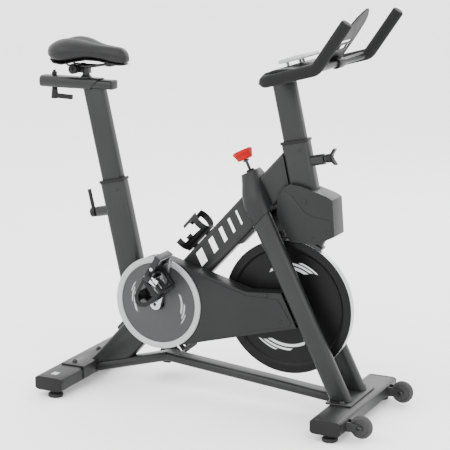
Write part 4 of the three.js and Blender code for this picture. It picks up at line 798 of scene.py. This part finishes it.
@dataclass
class SubAssembly:
    """A group of pieces that is built and dressed together.

    Attributes:
        layout: places that the pieces share.
        pieces: the finished pieces.
    """

    layout: Layout
    pieces: list[bpy.types.Object] = field(default_factory=list, init=False)

    def refine(
        self, node: str, body: str, finish: Finish, soft: float = 1.2, segments: int = 2, smooth: float = 40.0
    ) -> None:
        """Replaces a frame node by a copy with rounded edges.

        Args:
            node: the node's name.
            body: the body that carries it.
            finish: its finish.
            soft: edge rounding in millimetres.
            segments: segments of the rounding.
            smooth: faces that meet at less than this many degrees shade as one.
        """
        form = Form.of_node(node)
        if soft > 0.0:
            form.soften(soft * MM, segments, 36.0)
        self.pieces.append(form.made(f"{node}_skin", body, finish, (node,), smooth))

    def keep(self, piece: bpy.types.Object) -> bpy.types.Object:
        """Adds a finished piece to the list."""
        self.pieces.append(piece)
        return piece

    def build(self) -> None:
        """Makes every piece of the group."""
        raise NotImplementedError

    def report(self) -> None:
        """Logs each piece of the group."""
        for piece in self.pieces:
            log.info("%s: %s, %d faces", type(self).__name__, piece.name, len(piece.data.polygons))


@dataclass
class Chassis(SubAssembly):
    """Stabilisers, feet, wheels and the welded tubes.

    Attributes:
        foot_radius: radius of a levelling foot.
        wheel_radius: radius of a transport wheel.
        wheel_width: width of a transport wheel.
        screw_face: where a screw seats on a tube's side.
        mark_face: where a marking starts on a tube's side.
    """

    foot_radius: float = 0.025
    wheel_radius: float = 0.036
    wheel_width: float = 0.024
    screw_face: float = 0.0248
    mark_face: float = 0.0251

    def build(self) -> None:
        """Makes the tubes, caps, feet, wheels and bolts."""
        for node in ("stabiliser_rear", "stabiliser_front", "rear_bracket", "fork_base_plate"):
            self.refine(node, "frame", Finishes.PAINT, 1.5, 3)
        for node in ("base_tube", "main_tube", "seat_tube", "head_tube", "fork_leg_R", "fork_leg_L"):
            self.refine(node, "frame", Finishes.PAINT, 1.0)
        for corner in CORNERS:
            self.refine(f"end_cap_{corner}", "frame", Finishes.BLACK, 2.5, 3)
        for node in ("seat_tube_bush", "head_tube_bush"):
            self.refine(node, "frame", Finishes.BLACK, 1.6, 3)
        self.refine("bottom_bracket_shell", "frame", Finishes.STEEL, 0.8)
        self.refine("flywheel_axle", "frame", Finishes.BOLT, 0.8)
        self.weld()
        self.feet()
        self.wheels()
        self.bolts()
        self.marking()

    def weld(self) -> None:
        """Bead where the main tube meets the head tube."""
        place = self.layout
        corners = [place.head_at(z) - place.post_ahead * 0.0445 + place.across * y
                   for z, y in ((0.8365, -0.0245), (0.8365, 0.0245), (0.7205, 0.0245), (0.7205, -0.0245))]
        middle = (corners[0] + corners[1]) / 2.0
        loop = rounded_path([middle, corners[1], corners[2], corners[3], corners[0], middle], 0.004, 4)[:-1]
        bead = Form().sweep(loop, circle(0.0034, 12), closed=True)
        self.keep(bead.made("head_weld", "frame", Finishes.PAINT, smooth=60.0))

    def feet(self) -> None:
        """Levelling feet with a lock nut each."""
        r = self.foot_radius
        for corner in CORNERS:
            node = f"foot_{corner}"
            low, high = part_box(node)
            base = Vector(((low.x + high.x) / 2.0, (low.y + high.y) / 2.0, low.z))
            form = Form().lathe(
                [(0.0, 0.0), (r - 0.003, 0.0), (r - 0.001, 0.0012), (r, 0.004), (r, 0.009),
                 (r - 0.0015, 0.0115), (r - 0.005, 0.0135), (0.009, 0.014), (0.0085, 0.019),
                 (0.006, 0.0195), (0.006, 0.034), (0.0, 0.034)],
                base, Vector((0.0, 0.0, 1.0)), 48,
            )
            self.keep(form.made(f"{node}_pad", node, Finishes.RUBBER, (node,), 30.0))

    def wheels(self) -> None:
        """Transport wheels with a hub, a raised rim and an axle bolt."""
        for hand, sign in HANDS:
            node = f"transport_wheel_{hand}"
            middle = centre_of(node)
            r, half = self.wheel_radius, self.wheel_width / 2.0
            side = [(0.0056, half), (0.011, half), (0.012, half - 0.003), (r - 0.011, half - 0.0035),
                    (r - 0.009, half - 0.0005), (r - 0.005, half - 0.0015), (r - 0.0012, half - 0.005),
                    (r, half - 0.008)]
            profile = side + [(x, -h) for x, h in reversed(side)]
            form = Form().lathe([*profile, profile[0]], middle, self.layout.across, 56)
            self.keep(form.made(node + "_tyre", node, Finishes.TREAD, (node,), 34.0))
            for way in (-1.0, 1.0):
                at = middle + Vector((0.0, way * (half + 0.0072), 0.0))
                self.keep(screw(f"wheel_bolt_{hand}_{'in' if way * sign < 0 else 'out'}", at,
                                Vector((0.0, way, 0.0)), "frame", 0.0085))

    def bolts(self) -> None:
        """Heads of the bolts and small screws on the tubes."""
        place = self.layout
        for tag, sign in HANDS:
            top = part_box("rear_bracket")[1].z
            self.keep(screw(f"rear_bolt_{tag}", Vector((place.rear_x + 0.002, sign * 0.080, top - 0.0012)),
                            Vector((0, 0, 1)), "frame", 0.0075))
            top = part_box("fork_base_plate")[1].z
            self.keep(screw(f"front_bolt_{tag}", Vector((place.front_x - 0.006, sign * 0.093, top - 0.0012)),
                            Vector((0, 0, 1)), "frame", 0.007))
            for name, at in (("seat", place.seat_at(0.664)), ("head", place.head_at(0.846))):
                spot = at + place.post_ahead * 0.018 + Vector((0.0, sign * self.screw_face, 0.0))
                self.keep(screw(f"{name}_tube_screw_{tag}", spot, Vector((0, sign, 0)), "frame", 0.0045))
            lug = place.main_at(0.575) - place.main_up * 0.036 + Vector((0.0, sign * self.screw_face, 0.0))
            self.keep(screw(f"lug_screw_{tag}", lug, Vector((0, sign, 0)), "frame", 0.005))

    def marking(self) -> None:
        """Plain slanted bars on each side of the main tube, and a blank label on the rear stabiliser."""
        place = self.layout
        low, high, slant = -0.014, 0.030, 0.016
        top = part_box("stabiliser_rear")[1].z
        label = Form().block(
            (place.rear_x - 0.011, -0.214, top - 0.0012), (place.rear_x + 0.011, -0.188, top + 0.0003)
        )
        self.keep(label.made("blank_label", "frame", Finishes.SILVER))
        for tag, sign in HANDS:
            form = Form()
            for start, length in (
                (0.452, 0.030), (0.500, 0.022), (0.540, 0.016), (0.574, 0.011), (0.604, 0.007)
            ):
                base = place.main_at(start)
                corners = [
                    base + place.main_way * along + place.main_up * rise
                    for along, rise in ((0.0, low), (length, low), (length + slant, high), (slant, high))
                ]
                y = sign * self.mark_face
                form.prism([(c.x, c.z) for c in corners], y, y + sign * 0.00025)
            self.keep(form.made(f"tube_marking_{tag}", "frame", Finishes.MARK))


@dataclass
class Fork(SubAssembly):
    """Crown shroud, resistance housing, brake and knob.

    Attributes:
        knob_radius: largest radius of the knob.
        flutes: grip flutes round the knob.
        panel_face: where the raised panel starts on the housing's side.
    """

    knob_radius: float = 0.0325
    flutes: int = 20
    panel_face: float = 0.0398

    def build(self) -> None:
        """Makes the covers, the rod and the knob."""
        self.refine("fork_shroud", "frame", Finishes.COVER, 1.6, 3, 52.0)
        self.refine("resistance_housing", "frame", Finishes.COVER, 3.0, 4, 40.0)
        self.refine("magnet_carrier", "magnet_carrier", Finishes.BOLT, 0.6)
        self.refine("brake_rod", "brake_rod", Finishes.BOLT, 0.6)
        self.knob()
        self.housing_panels()

    def knob(self) -> None:
        """A fluted red cone with a shallow dished top and a collar."""
        place = self.layout
        top = place.fork_at(0.829)
        base = top - place.fork_way * 0.0313
        r = self.knob_radius
        form = Form().lathe(
            [(0.0054, 0.0), (0.0225, 0.0), (0.0245, 0.0015), (0.0255, 0.005), (0.0300, 0.0185), (r, 0.0215),
             (r, 0.0268), (0.0315, 0.0290), (0.0285, 0.0312), (0.0240, 0.0318), (0.0205, 0.0300),
             (0.0, 0.0296)],
            base, place.fork_way, self.flutes * 6,
        )
        for vert in form.bm.verts:
            arm = vert.co - base
            height = arm.dot(place.fork_way)
            out = arm - place.fork_way * height
            if 0.003 < height < 0.020 and out.length > 0.02:
                angle = math.atan2(out.dot(place.across), out.dot(place.fork_ahead))
                dip = max(0.0, math.cos(self.flutes * angle)) * 0.0013
                vert.co -= out.normalized() * dip
        self.keep(form.made("brake_knob_cap", "brake_knob", Finishes.RED, ("brake_knob",), 40.0))
        collar = Form().lathe(
            [(0.0062, -0.006), (0.0125, -0.006), (0.0135, -0.004), (0.0135, 0.003), (0.0115, 0.005),
             (0.0062, 0.005), (0.0062, -0.006)],
            place.fork_at(0.7665), place.fork_way, 36,
        )
        self.keep(collar.made("rod_collar", "frame", Finishes.BLACK, smooth=36.0))

    def housing_panels(self) -> None:
        """Raised arc, sight dot and screws on each side of the housing."""
        axle = self.layout.axle
        for tag, sign in HANDS:
            y = sign * self.panel_face
            form = Form()
            outline = [(axle.x + dx, axle.z + dz) for dx, dz in (
                (-0.018, 0.300), (0.022, 0.226), (0.107, 0.226), (0.161, 0.254), (0.157, 0.300),
                (0.100, 0.306), (0.070, 0.318), (0.020, 0.372), (0.000, 0.378), (-0.012, 0.368),
                (-0.019, 0.346))]
            form.prism(outline, y, y + sign * 0.0016).soften(0.0008, 2)
            self.keep(form.made(f"housing_panel_{tag}", "frame", Finishes.COVER, smooth=40.0))
            for index, (dx, dz) in enumerate(((0.098, 0.238), (0.146, 0.262))):
                at = Vector((axle.x + dx, y + sign * 0.0012, axle.z + dz))
                self.keep(screw(f"housing_screw_{tag}_{index}", at, Vector((0, sign, 0)), "frame", 0.0045))
            dot = Form().lathe(
                [(0.0, 0.0), (0.009, 0.0), (0.009, 0.0012), (0.008, 0.0018), (0.0, 0.0018)],
                Vector((axle.x + 0.066, y, axle.z + 0.352)), Vector((0.0, sign, 0.0)), 32,
            )
            self.keep(dot.made(f"housing_dot_{tag}", "frame", Finishes.GUARD, smooth=40.0))


class FlywheelFinish(Finish):
    """Black cast face with painted highlights as light curved slashes, and a bright machined rim."""

    def paint(self, graph: Graph) -> Graph:
        """Builds the face, the painted highlight slashes and the rim.

        Args:
            graph: an empty graph.

        Returns:
            The same graph.
        """
        radius, turn = graph.polar(centre_of("flywheel"))
        # Painted highlights: light curved slashes on the dark face stand in for reflected lamp light.
        rows = ((0.565, 0.150, 0.128, 0.0040), (0.600, 0.100, 0.141, 0.0028), (0.640, 0.060, 0.151, 0.0018))
        painted_glint = graph.slashes(radius, turn * 2.0 + radius * 3.4, rows, 0.015)
        rim = radius > 0.2171
        fine = graph.noise(700.0, 3.0)
        turned = (radius * 5200.0).math("SINE")
        dark = graph.blend(fine, (0.0018, 0.0018, 0.0020), (0.0040, 0.0040, 0.0043))
        bright = graph.blend(fine, (0.34, 0.35, 0.36), (0.50, 0.51, 0.52))
        color = graph.blend(painted_glint, dark, (0.55, 0.56, 0.57))
        color = graph.blend(rim, color, bright)
        graph.surface(
            Base_Color=color,
            Metallic=(rim * 0.95).clamp(),
            Roughness=(0.34 - rim * 0.06 + fine * 0.1).clamp(),
            Specular_IOR_Level=0.14,
        )
        graph.bump(turned * rim * 0.3 + graph.noise(1300.0, 2.0) * (1.0 - rim), 0.12, 0.0004)
        return graph


class DiscFinish(Finish):
    """Mid-grey disc with painted highlights: three light curved strokes on two sides."""

    def paint(self, graph: Graph) -> Graph:
        """Builds the grey and the painted highlight strokes.

        Args:
            graph: an empty graph.

        Returns:
            The same graph.
        """
        radius, turn = graph.polar(centre_of("guard_ring"))
        # Painted highlights: light curved strokes on the grey disc stand in for reflected lamp light.
        rows = ((0.22, 0.10, 0.086, 0.0026), (0.28, 0.065, 0.095, 0.0018), (0.34, 0.036, 0.102, 0.0012))
        painted_disc_highlight = graph.slashes(radius, turn * 2.0 + radius * 3.0, rows, 0.03)
        fine = graph.noise(520.0, 3.0)
        grey = graph.blend(fine, tuple(c * 0.85 for c in self.color), tuple(c * 1.2 for c in self.color))
        color = graph.blend(painted_disc_highlight * 0.85, grey, (0.36, 0.365, 0.37))
        rough = (self.roughness + fine * 0.1).clamp()
        graph.surface(Base_Color=color, Roughness=rough, Specular_IOR_Level=0.35)
        graph.bump((radius * 2400.0).math("SINE") * 0.4 + graph.noise(1500.0, 2.0), 0.10, 0.0004)
        return graph


@dataclass
class Drive(SubAssembly):
    """Flywheel, guard, belt, cranks and pedals.

    Attributes:
        flywheel_radius: radius of the flywheel.
        ring_radius: outer radius of the guard's ring.
        ring_width: width of the ring.
        pedal_toe: direction from a pedal's axle to its toe cage.
    """

    flywheel_radius: float = 0.218
    ring_radius: float = 0.153
    ring_width: float = 0.020
    pedal_toe: Point = (-0.5075, 0.0, -0.8616)

    def build(self) -> None:
        """Makes the wheel, the guard and the cranks."""
        self.flywheel()
        self.guard()
        self.refine("drive_belt", "frame", Finishes.BELT, 0.4)
        self.refine("crank_spindle_pulley", "crankset", Finishes.STEEL, 0.5)
        for hand, sign in HANDS:
            self.refine(f"crank_{hand}", "crankset", Finishes.CRANK, 2.0, 3, 36.0)
            self.refine(f"pedal_{hand}", f"pedal_{hand}", Finishes.PEDAL, 1.2, 2)
            self.refine(f"toe_cage_{hand}", f"pedal_{hand}", Finishes.BLACK, 2.0, 4, 46.0)
            self.crank_details(hand, sign)
            self.pedal_details(hand, sign)

    def flywheel(self) -> None:
        """A dished disc with a stepped rim, a hub and its belt pulley."""
        finish = FlywheelFinish("flywheel_faces", "flywheel_iron", Grain.METAL, (0.02, 0.02, 0.02), 0.35)
        r = self.flywheel_radius
        half = [(0.0104, 0.016), (0.022, 0.016), (0.026, 0.0145), (0.028, 0.010), (0.032, 0.0062),
                (0.120, 0.0058), (0.172, 0.0062), (0.184, 0.0075), (0.190, 0.0125), (0.192, 0.0130),
                (0.204, 0.0130), (0.205, 0.0124), (0.2165, 0.0124), (r, 0.0108)]
        profile = half + [(x, -h) for x, h in reversed(half)]
        form = Form().lathe([*profile, profile[0]], self.layout.axle, self.layout.across, 160)
        self.keep(form.made("flywheel_disc", "flywheel", finish, ("flywheel",), 32.0))
        pulley = Form().lathe(
            [(0.0104, -0.040), (0.020, -0.040), (0.020, -0.039), (0.030, -0.039), (0.030, -0.029),
             (0.020, -0.029), (0.020, -0.0165), (0.0104, -0.0165), (0.0104, -0.040)],
            self.layout.axle, self.layout.across, 64,
        )
        self.keep(pulley.made("flywheel_pulley", "flywheel", Finishes.STEEL, smooth=32.0))

    def guard(self) -> None:
        """Guard shell, raised panel, dished disc, ring and screws."""
        self.refine("guard_shell", "frame", Finishes.GUARD, 4.5, 4, 34.0)
        self.refine("guard_back_plate", "frame", Finishes.GUARD, 0.4)
        crank, axle = self.layout.crank, self.layout.axle
        outer, inner = self.ring_radius, self.ring_radius - self.ring_width
        ring = Form().lathe(
            [(inner, -0.0793), (outer, -0.0793), (outer, -0.0815), (outer - 0.0012, -0.0838),
             (outer - 0.004, -0.0843), (inner + 0.005, -0.0843), (inner + 0.002, -0.0836), (inner, -0.0815),
             (inner, -0.0793)],
            crank, self.layout.across, 128,
        )
        self.keep(ring.made("guard_ring_trim", "frame", Finishes.SILVER, ("guard_ring",), 34.0))
        disc = Form().lathe(
            [(0.0215, -0.0790), (inner - 0.0006, -0.0790), (inner - 0.0006, -0.0806),
             (inner - 0.004, -0.0812), (0.098, -0.0800), (0.094, -0.0812), (0.060, -0.0822),
             (0.032, -0.0836), (0.027, -0.0832), (0.0215, -0.0815), (0.0215, -0.0790)],
            crank, self.layout.across, 128,
        )
        grey = DiscFinish("grey_disc_faces", "guard_plastic", Grain.MOULDED, (0.026, 0.0265, 0.0275), 0.34)
        self.keep(disc.made("guard_disc", "frame", grey, smooth=24.0))
        edge = self.ring_radius + 0.004
        outline = []
        for i in range(15):
            angle = math.radians(50.0 - 100.0 * i / 14.0)
            outline.append((crank.x + edge * math.cos(angle), crank.z + edge * math.sin(angle)))
        low, high = axle.z - 0.046, axle.z + 0.040
        low_x, high_x = (self.layout.fork_at(z).x - 0.052 for z in (low, high))
        outline += [(axle.x - 0.030, axle.z - 0.056), (low_x - 0.010, low), (low_x - 0.006, low + 0.014),
                    (high_x, high - 0.012), (high_x - 0.010, high), (axle.x - 0.112, axle.z + 0.040)]
        panel = Form().prism(outline, -0.0788, -0.0818).soften(0.0022, 4)
        self.keep(panel.made("guard_panel", "frame", Finishes.GUARD, smooth=36.0))
        for index, (dx, dz) in enumerate(((-0.044, 0.049), (0.006, -0.030))):
            at = Vector((axle.x + dx, -0.0800 if index == 0 else -0.0815, axle.z + dz))
            self.keep(screw(f"guard_screw_{index}", at, Vector((0, -1, 0)), "frame", 0.005))

    def crank_details(self, hand: str, sign: float) -> None:
        """Centre bolt cap and bolt of one crank."""
        at = Vector((self.layout.crank.x, sign * 0.1018, self.layout.crank.z))
        cap = Form().lathe(
            [(0.0, 0.0), (0.0125, 0.0), (0.0125, 0.0015), (0.0110, 0.0030), (0.0, 0.0036)],
            at, Vector((0.0, sign, 0.0)), 40,
        )
        self.keep(cap.made(f"crank_cap_{hand}", "crankset", Finishes.CRANK, smooth=40.0))
        bolt = at + Vector((0.0, sign * 0.0034, 0.0))
        self.keep(screw(f"crank_bolt_{hand}", bolt, Vector((0.0, sign, 0.0)), "crankset", 0.0055))

    def pedal_details(self, hand: str, sign: float) -> None:
        """Grip teeth on the pedal, a toe strap and a buckle."""
        middle = centre_of(f"pedal_{hand}")
        toe = Vector(self.pedal_toe)
        top = Vector((-toe.z, 0.0, toe.x))
        turn = Matrix((toe, self.layout.across, toe.cross(self.layout.across))).transposed()
        teeth = Form()
        for t in (-0.0415, 0.0415):
            for k in range(9):
                y = -0.036 + 0.009 * k
                for face in (-1.0, 1.0):
                    z0, z1 = sorted((face * 0.0108, face * 0.0128))
                    teeth.block((t - 0.0022, y - 0.0022, z0), (t + 0.0022, y + 0.0022, z1), turn, middle)
        self.keep(teeth.made(f"pedal_teeth_{hand}", f"pedal_{hand}", Finishes.STEEL, smooth=20.0))
        strap = Form()
        reach = [(-0.0496, 0.0), (-0.0496, 0.020), (-0.0490, 0.040), (-0.046, 0.058), (-0.036, 0.066),
                 (0.0, 0.0675), (0.036, 0.066), (0.046, 0.058), (0.0490, 0.040), (0.0496, 0.020),
                 (0.0496, 0.0)]
        path = []
        for y, n in reach:
            lean = 0.016 + 0.024 * max(0.0, n) / 0.066
            path.append(middle + toe * lean + top * n + Vector((0.0, y, 0.0)))
        outline = [(-0.0007, -0.008), (0.0007, -0.008), (0.0007, 0.008), (-0.0007, 0.008)]
        strap.sweep(rounded_path(path, 0.004, 3), outline)
        self.keep(strap.made(f"toe_strap_{hand}", f"pedal_{hand}", Finishes.STRAP, smooth=50.0))
        buckle = Form()
        at = middle + toe * 0.026 + top * 0.030 + Vector((0.0, sign * 0.0515, 0.0))
        buckle.block((-0.011, -0.002, -0.013), (0.011, 0.002, 0.013), turn, at)
        buckle.block((-0.008, -0.004, -0.005), (0.008, 0.004, 0.004), turn, at)
        buckle.soften(0.0009, 2)
        self.keep(buckle.made(f"strap_buckle_{hand}", f"pedal_{hand}", Finishes.STEEL, smooth=40.0))


@dataclass
class BottleCage(SubAssembly):
    """Open cage on the upper face of the main tube."""

    def build(self) -> None:
        """Makes the cage."""
        self.refine("bottle_cage", "frame", Finishes.BLACK, 0.7, 2, 40.0)


@dataclass
class Seat(SubAssembly):
    """Seat post, fore and aft slider, lever, rails and padded saddle.

    Attributes:
        width: width of the saddle.
        ring: points round a section of the pad.
        steps: sections from the rear to the nose.
    """

    width: float = 0.196
    ring: int = 56
    steps: int = 46
    stations: tuple = (
        (0.0, 0.46, 1.108, 1.128, 0.003), (0.02, 0.66, 1.098, 1.137, 0.005),
        (0.05, 0.78, 1.092, 1.1425, 0.007), (0.13, 0.94, 1.083, 1.152, 0.011),
        (0.26, 1.0, 1.080, 1.158, 0.013), (0.40, 0.88, 1.088, 1.154, 0.010),
        (0.53, 0.62, 1.094, 1.145, 0.006), (0.66, 0.42, 1.091, 1.138, 0.003),
        (0.80, 0.31, 1.083, 1.134, 0.001), (0.92, 0.265, 1.079, 1.129, 0.0),
        (0.975, 0.215, 1.0795, 1.119, 0.0), (1.0, 0.13, 1.086, 1.105, 0.0),
    )

    def build(self) -> None:
        """Makes the post, the slider, the clamps and the saddle."""
        self.refine("seat_post", "seat_post", Finishes.PAINT, 1.0)
        self.refine("saddle_slider", "saddle_slider", Finishes.PAINT, 1.0)
        self.refine("slider_lever", "slider_lever", Finishes.BLACK, 1.2, 2)
        self.refine("saddle_clamp", "saddle", Finishes.BLACK, 0.8)
        self.refine("saddle_rails", "saddle", Finishes.BOLT, 0.0, smooth=50.0)
        self.refine("saddle_base", "saddle", Finishes.BLACK, 0.8, 2, 40.0)
        self.refine("seat_pin", "seat_pin", Finishes.BOLT, 0.5)
        self.refine("seat_pin_handle", "seat_pin_handle", Finishes.BLACK, 1.4, 3)
        self.pad()
        beam = self.layout.rear_x + 0.123
        plug = Form().block((beam - 0.004, -0.0222, 0.9945), (beam + 0.0022, 0.0222, 1.0215))
        plug.soften(0.004, 3)
        self.keep(plug.made("beam_plug", "seat_post", Finishes.BLACK, smooth=40.0))

    def station(self, share: float) -> tuple[float, float, float, float]:
        """Half width, underside, crest and channel depth at a share of the length.

        Args:
            share: zero at the rear, one at the nose.

        Returns:
            The four values, smoothly between the stations.
        """
        table = self.stations
        index = max(i for i in range(len(table) - 1) if table[i][0] <= share + 1e-9)
        here, ahead = table[index], table[index + 1]
        back = table[max(index - 1, 0)]
        beyond = table[min(index + 2, len(table) - 1)]
        t = (share - here[0]) / (ahead[0] - here[0])
        gap = ahead[0] - here[0]
        values = []
        for k in range(1, 5):
            m0 = (ahead[k] - back[k]) / (ahead[0] - back[0]) * gap
            m1 = (beyond[k] - here[k]) / (beyond[0] - here[0]) * gap
            a, b = (2 * t**3 - 3 * t**2 + 1), (t**3 - 2 * t**2 + t)
            values.append(a * here[k] + b * m0 + (1 - a) * ahead[k] + (t**3 - t**2) * m1)
        return values[0] * self.width / 2.0, values[1], values[2], values[3]

    def section(self, share: float, x: float) -> list[Vector]:
        """One closed section of the pad.

        Args:
            share: share of the length.
            x: its place along the bike.

        Returns:
            Points round the section.
        """
        half, low, high, channel = self.station(share)
        rise = high - low
        points = []
        for i in range(self.ring):
            angle = math.tau * i / self.ring
            c, s = math.cos(angle), math.sin(angle)
            y = half * math.copysign(abs(c) ** 0.72, c)
            if s >= 0.0:
                z = low + rise * (0.30 + 0.70 * s ** 0.80)
                groove = math.exp(-((y / max(0.2 * half, 0.008)) ** 2))
                z -= channel * groove * s
                welt = math.exp(-(((s - 0.10) / 0.07) ** 2))
                y -= math.copysign(min(0.0022, half * 0.08), y) * welt
            else:
                z = low + rise * 0.30 * (1.0 - abs(s) ** 0.55)
                y *= 1.0 - 0.16 * abs(s)
            points.append(Vector((x, y, z)))
        return points

    def pad(self) -> None:
        low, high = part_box("saddle_pad")
        length = high.x - low.x
        shares = [0.5 - 0.5 * math.cos(math.pi * i / self.steps) for i in range(self.steps + 1)]
        rings = [self.section(share, low.x + share * length) for share in shares]
        form = Form().loft(rings)
        piece = self.keep(form.made("saddle_cushion", "saddle", Finishes.VINYL, ("saddle_pad",), 60.0))
        for tag, sign in HANDS:
            seam = []
            for share in shares[2:-2]:
                half, base, top, _ = self.station(share)
                y = sign * (half * 0.996 - 0.0012)
                seam.append(Vector((low.x + share * length, y, base + (top - base) * 0.44)))
            welt = Form().sweep(seam, circle(0.0011, 8))
            self.keep(welt.made(f"saddle_welt_{tag}", "saddle", Finishes.TRIM, smooth=60.0))


@dataclass
class Cockpit(SubAssembly):
    """Handlebar post, foam grips, tray, display and tablet holder.

    Attributes:
        bar_half: half the handlebar's width.
        foam_radius: radius of the foam.
        corner: corner radius of the bar.
        arm: length of the lower arm.
        arm_slope: its slope in degrees.
        horn: length of the raised end.
        horn_slope: its slope in degrees.
        display_top: height of the display's face over the foam.
    """

    bar_half: float = 0.217
    foam_radius: float = 0.018
    corner: float = 0.034
    arm: float = 0.178
    arm_slope: float = 15.4
    horn: float = 0.168
    horn_slope: float = 55.5
    display_top: float = 0.032

    def __post_init__(self) -> None:
        """Finds the bar's points."""
        self.middle = Vector((self.layout.front_x - 0.2289, 0.0, 1.080))
        self.arm_way = self.heading(self.arm_slope)
        self.elbow = self.middle + self.arm_way * self.arm
        self.tip = self.elbow + self.heading(self.horn_slope) * self.horn

    @staticmethod
    def heading(slope: float) -> Vector:
        """Forward direction that rises at a slope in degrees."""
        return Vector((math.cos(math.radians(slope)), 0.0, math.sin(math.radians(slope))))

    def build(self) -> None:
        """Makes the post, bar, grips, tray, display and holder."""
        self.refine("handlebar_post", "handlebar_post", Finishes.PAINT, 1.0)
        self.refine("handlebar", "handlebar_post", Finishes.PAINT, 0.0, smooth=50.0)
        self.refine("console_tray", "handlebar_post", Finishes.GREY, 1.0, 2, 50.0)
        self.refine("console_display", "handlebar_post", Finishes.SHELL, 0.9, 2, 40.0)
        self.refine("tablet_holder", "tablet_holder", Finishes.BLACK, 0.9, 2, 50.0)
        self.refine("handlebar_pin", "handlebar_pin", Finishes.BOLT, 0.5)
        self.refine("handlebar_pin_lever", "handlebar_pin_lever", Finishes.BLACK, 1.4, 3)
        self.grips()
        self.display()

    def grips(self) -> None:
        """Foam sleeves with rounded ends, and an end plug in each."""
        for tag, sign in HANDS:
            out = self.layout.across * sign
            side = out * self.bar_half
            corners = [self.middle + out * 0.026, self.middle + side, self.elbow + side, self.tip + side]
            path = rounded_path(corners, self.corner, 14)
            fine = [path[0] + (path[1] - path[0]) * (k / 12.0) for k in range(12)] + path[1:]
            form = Form().sweep(fine, circle(self.foam_radius, 32))
            form.soften(0.003, 3, 60.0)
            sleeve = f"foam_sleeve_{tag}"
            self.keep(form.made(f"foam_grip_{tag}", "handlebar_post", Finishes.FOAM, (sleeve,), 50.0))
            plug = Form().lathe(
                [(0.0, -0.002), (0.0148, -0.002), (0.0152, 0.0008), (0.0140, 0.0024), (0.0085, 0.0030),
                 (0.0, 0.0030)],
                self.tip + side, self.heading(self.horn_slope), 32,
            )
            self.keep(plug.made(f"bar_plug_{tag}", "handlebar_post", Finishes.RUBBER, smooth=40.0))

    def display(self) -> None:
        """Window and buttons on the display."""
        across = self.layout.across
        rise = Vector((-self.arm_way.z, 0.0, self.arm_way.x)).normalized()
        turn = Matrix((self.arm_way, across, self.arm_way.cross(across))).transposed()
        top = self.middle + self.arm_way * 0.004 + rise * (self.foam_radius + self.display_top)
        window = Form().block((0.026, -0.040, -0.0010), (0.062, 0.040, 0.0010), turn, top).soften(0.0008, 2)
        self.keep(window.made("display_window", "handlebar_post", Finishes.GLASS, smooth=40.0))
        keys = Form()
        for y in (-0.030, 0.0, 0.030):
            keys.block((0.009, y - 0.009, -0.0008), (0.018, y + 0.009, 0.0012), turn, top)
        keys.soften(0.0006, 2)
        self.keep(keys.made("display_keys", "handlebar_post", Finishes.SILVER, smooth=40.0))
        surround = Form().block((0.022, -0.0460, -0.0012), (0.066, 0.0460, 0.0006), turn, top)
        surround.soften(0.0005, 2)
        self.keep(surround.made("display_surround", "handlebar_post", Finishes.SILVER, smooth=40.0))


# ---------------------------------------------------------------- studio


@dataclass
class Studio:
    """Floor, lights and camera.

    Attributes:
        target: where the camera looks.
        azimuth: camera heading in degrees.
        elevation: camera height in degrees.
        distance: from the target in metres.
        lens: focal length in millimetres.
    """

    target: Point = (0.0413, 0.0, 0.5816)
    azimuth: float = 25.67
    elevation: float = 12.91
    distance: float = 5.24
    lens: float = 131.1

    def build(self) -> None:
        """Makes the floor, the backdrop colour, three soft lights and the camera."""
        self.floor()
        self.light("key_light", (-1.6, -3.0, 3.4), 2.6, 85.0)
        self.light("fill_light", (3.4, -2.2, 2.0), 2.4, 55.0)
        self.light("rim_light", (0.4, 3.2, 3.0), 2.4, 80.0)
        self.world()
        self.camera()

    def floor(self) -> None:
        """A plain pale floor under the bike."""
        bm = bmesh.new()
        bmesh.ops.create_grid(bm, x_segments=2, y_segments=2, size=30.0)
        mesh = bpy.data.meshes.new("floor")
        bm.to_mesh(mesh)
        bm.free()
        floor = bpy.data.objects.new("floor", mesh)
        bpy.context.scene.collection.objects.link(floor)
        graph = Graph("pale_floor")
        shade = graph.blend(graph.noise(3.0, 2.0), (0.93, 0.93, 0.93), (0.95, 0.95, 0.95))
        graph.surface(Base_Color=shade, Roughness=0.9, Specular_IOR_Level=0.1)
        mesh.materials.append(graph.material)

    def light(self, name: str, at: Point, size: float, power: float) -> None:
        """A square area light that faces the target.

        Args:
            name: its name.
            at: its place.
            size: its side.
            power: its power in watts.
        """
        data = bpy.data.lights.new(name, "AREA")
        data.size = size
        data.energy = power
        light = bpy.data.objects.new(name, data)
        light.location = at
        light.rotation_euler = (Vector(self.target) - Vector(at)).to_track_quat("-Z", "Y").to_euler()
        bpy.context.scene.collection.objects.link(light)

    def world(self) -> None:
        """An even white surround."""
        world = bpy.data.worlds.new("surround")
        world.use_nodes = True
        world.node_tree.nodes["Background"].inputs["Color"].default_value = (1.0, 1.0, 1.0, 1.0)
        world.node_tree.nodes["Background"].inputs["Strength"].default_value = 3.0
        bpy.context.scene.world = world

    def camera(self) -> None:
        """The camera, from the near side and a little ahead."""
        azimuth, elevation = math.radians(self.azimuth), math.radians(self.elevation)
        away = Vector((
            math.sin(azimuth) * math.cos(elevation),
            -math.cos(azimuth) * math.cos(elevation),
            math.sin(elevation),
        ))
        data = bpy.data.cameras.new("camera")
        data.lens = self.lens
        camera = bpy.data.objects.new("camera", data)
        camera.location = Vector(self.target) + away * self.distance
        camera.rotation_euler = (-away).to_track_quat("-Z", "Y").to_euler()
        bpy.context.scene.collection.objects.link(camera)
        bpy.context.scene.camera = camera


def main() -> None:
    """Builds the studio and every sub-assembly in order."""
    logging.basicConfig(level=logging.INFO, format="%(name)s: %(message)s")
    Studio().build()
    layout = Layout()
    for kind in (Chassis, Fork, Drive, BottleCage, Seat, Cockpit):
        group = kind(layout)
        group.build()
        group.report()


if __name__ == "__main__":
    main()
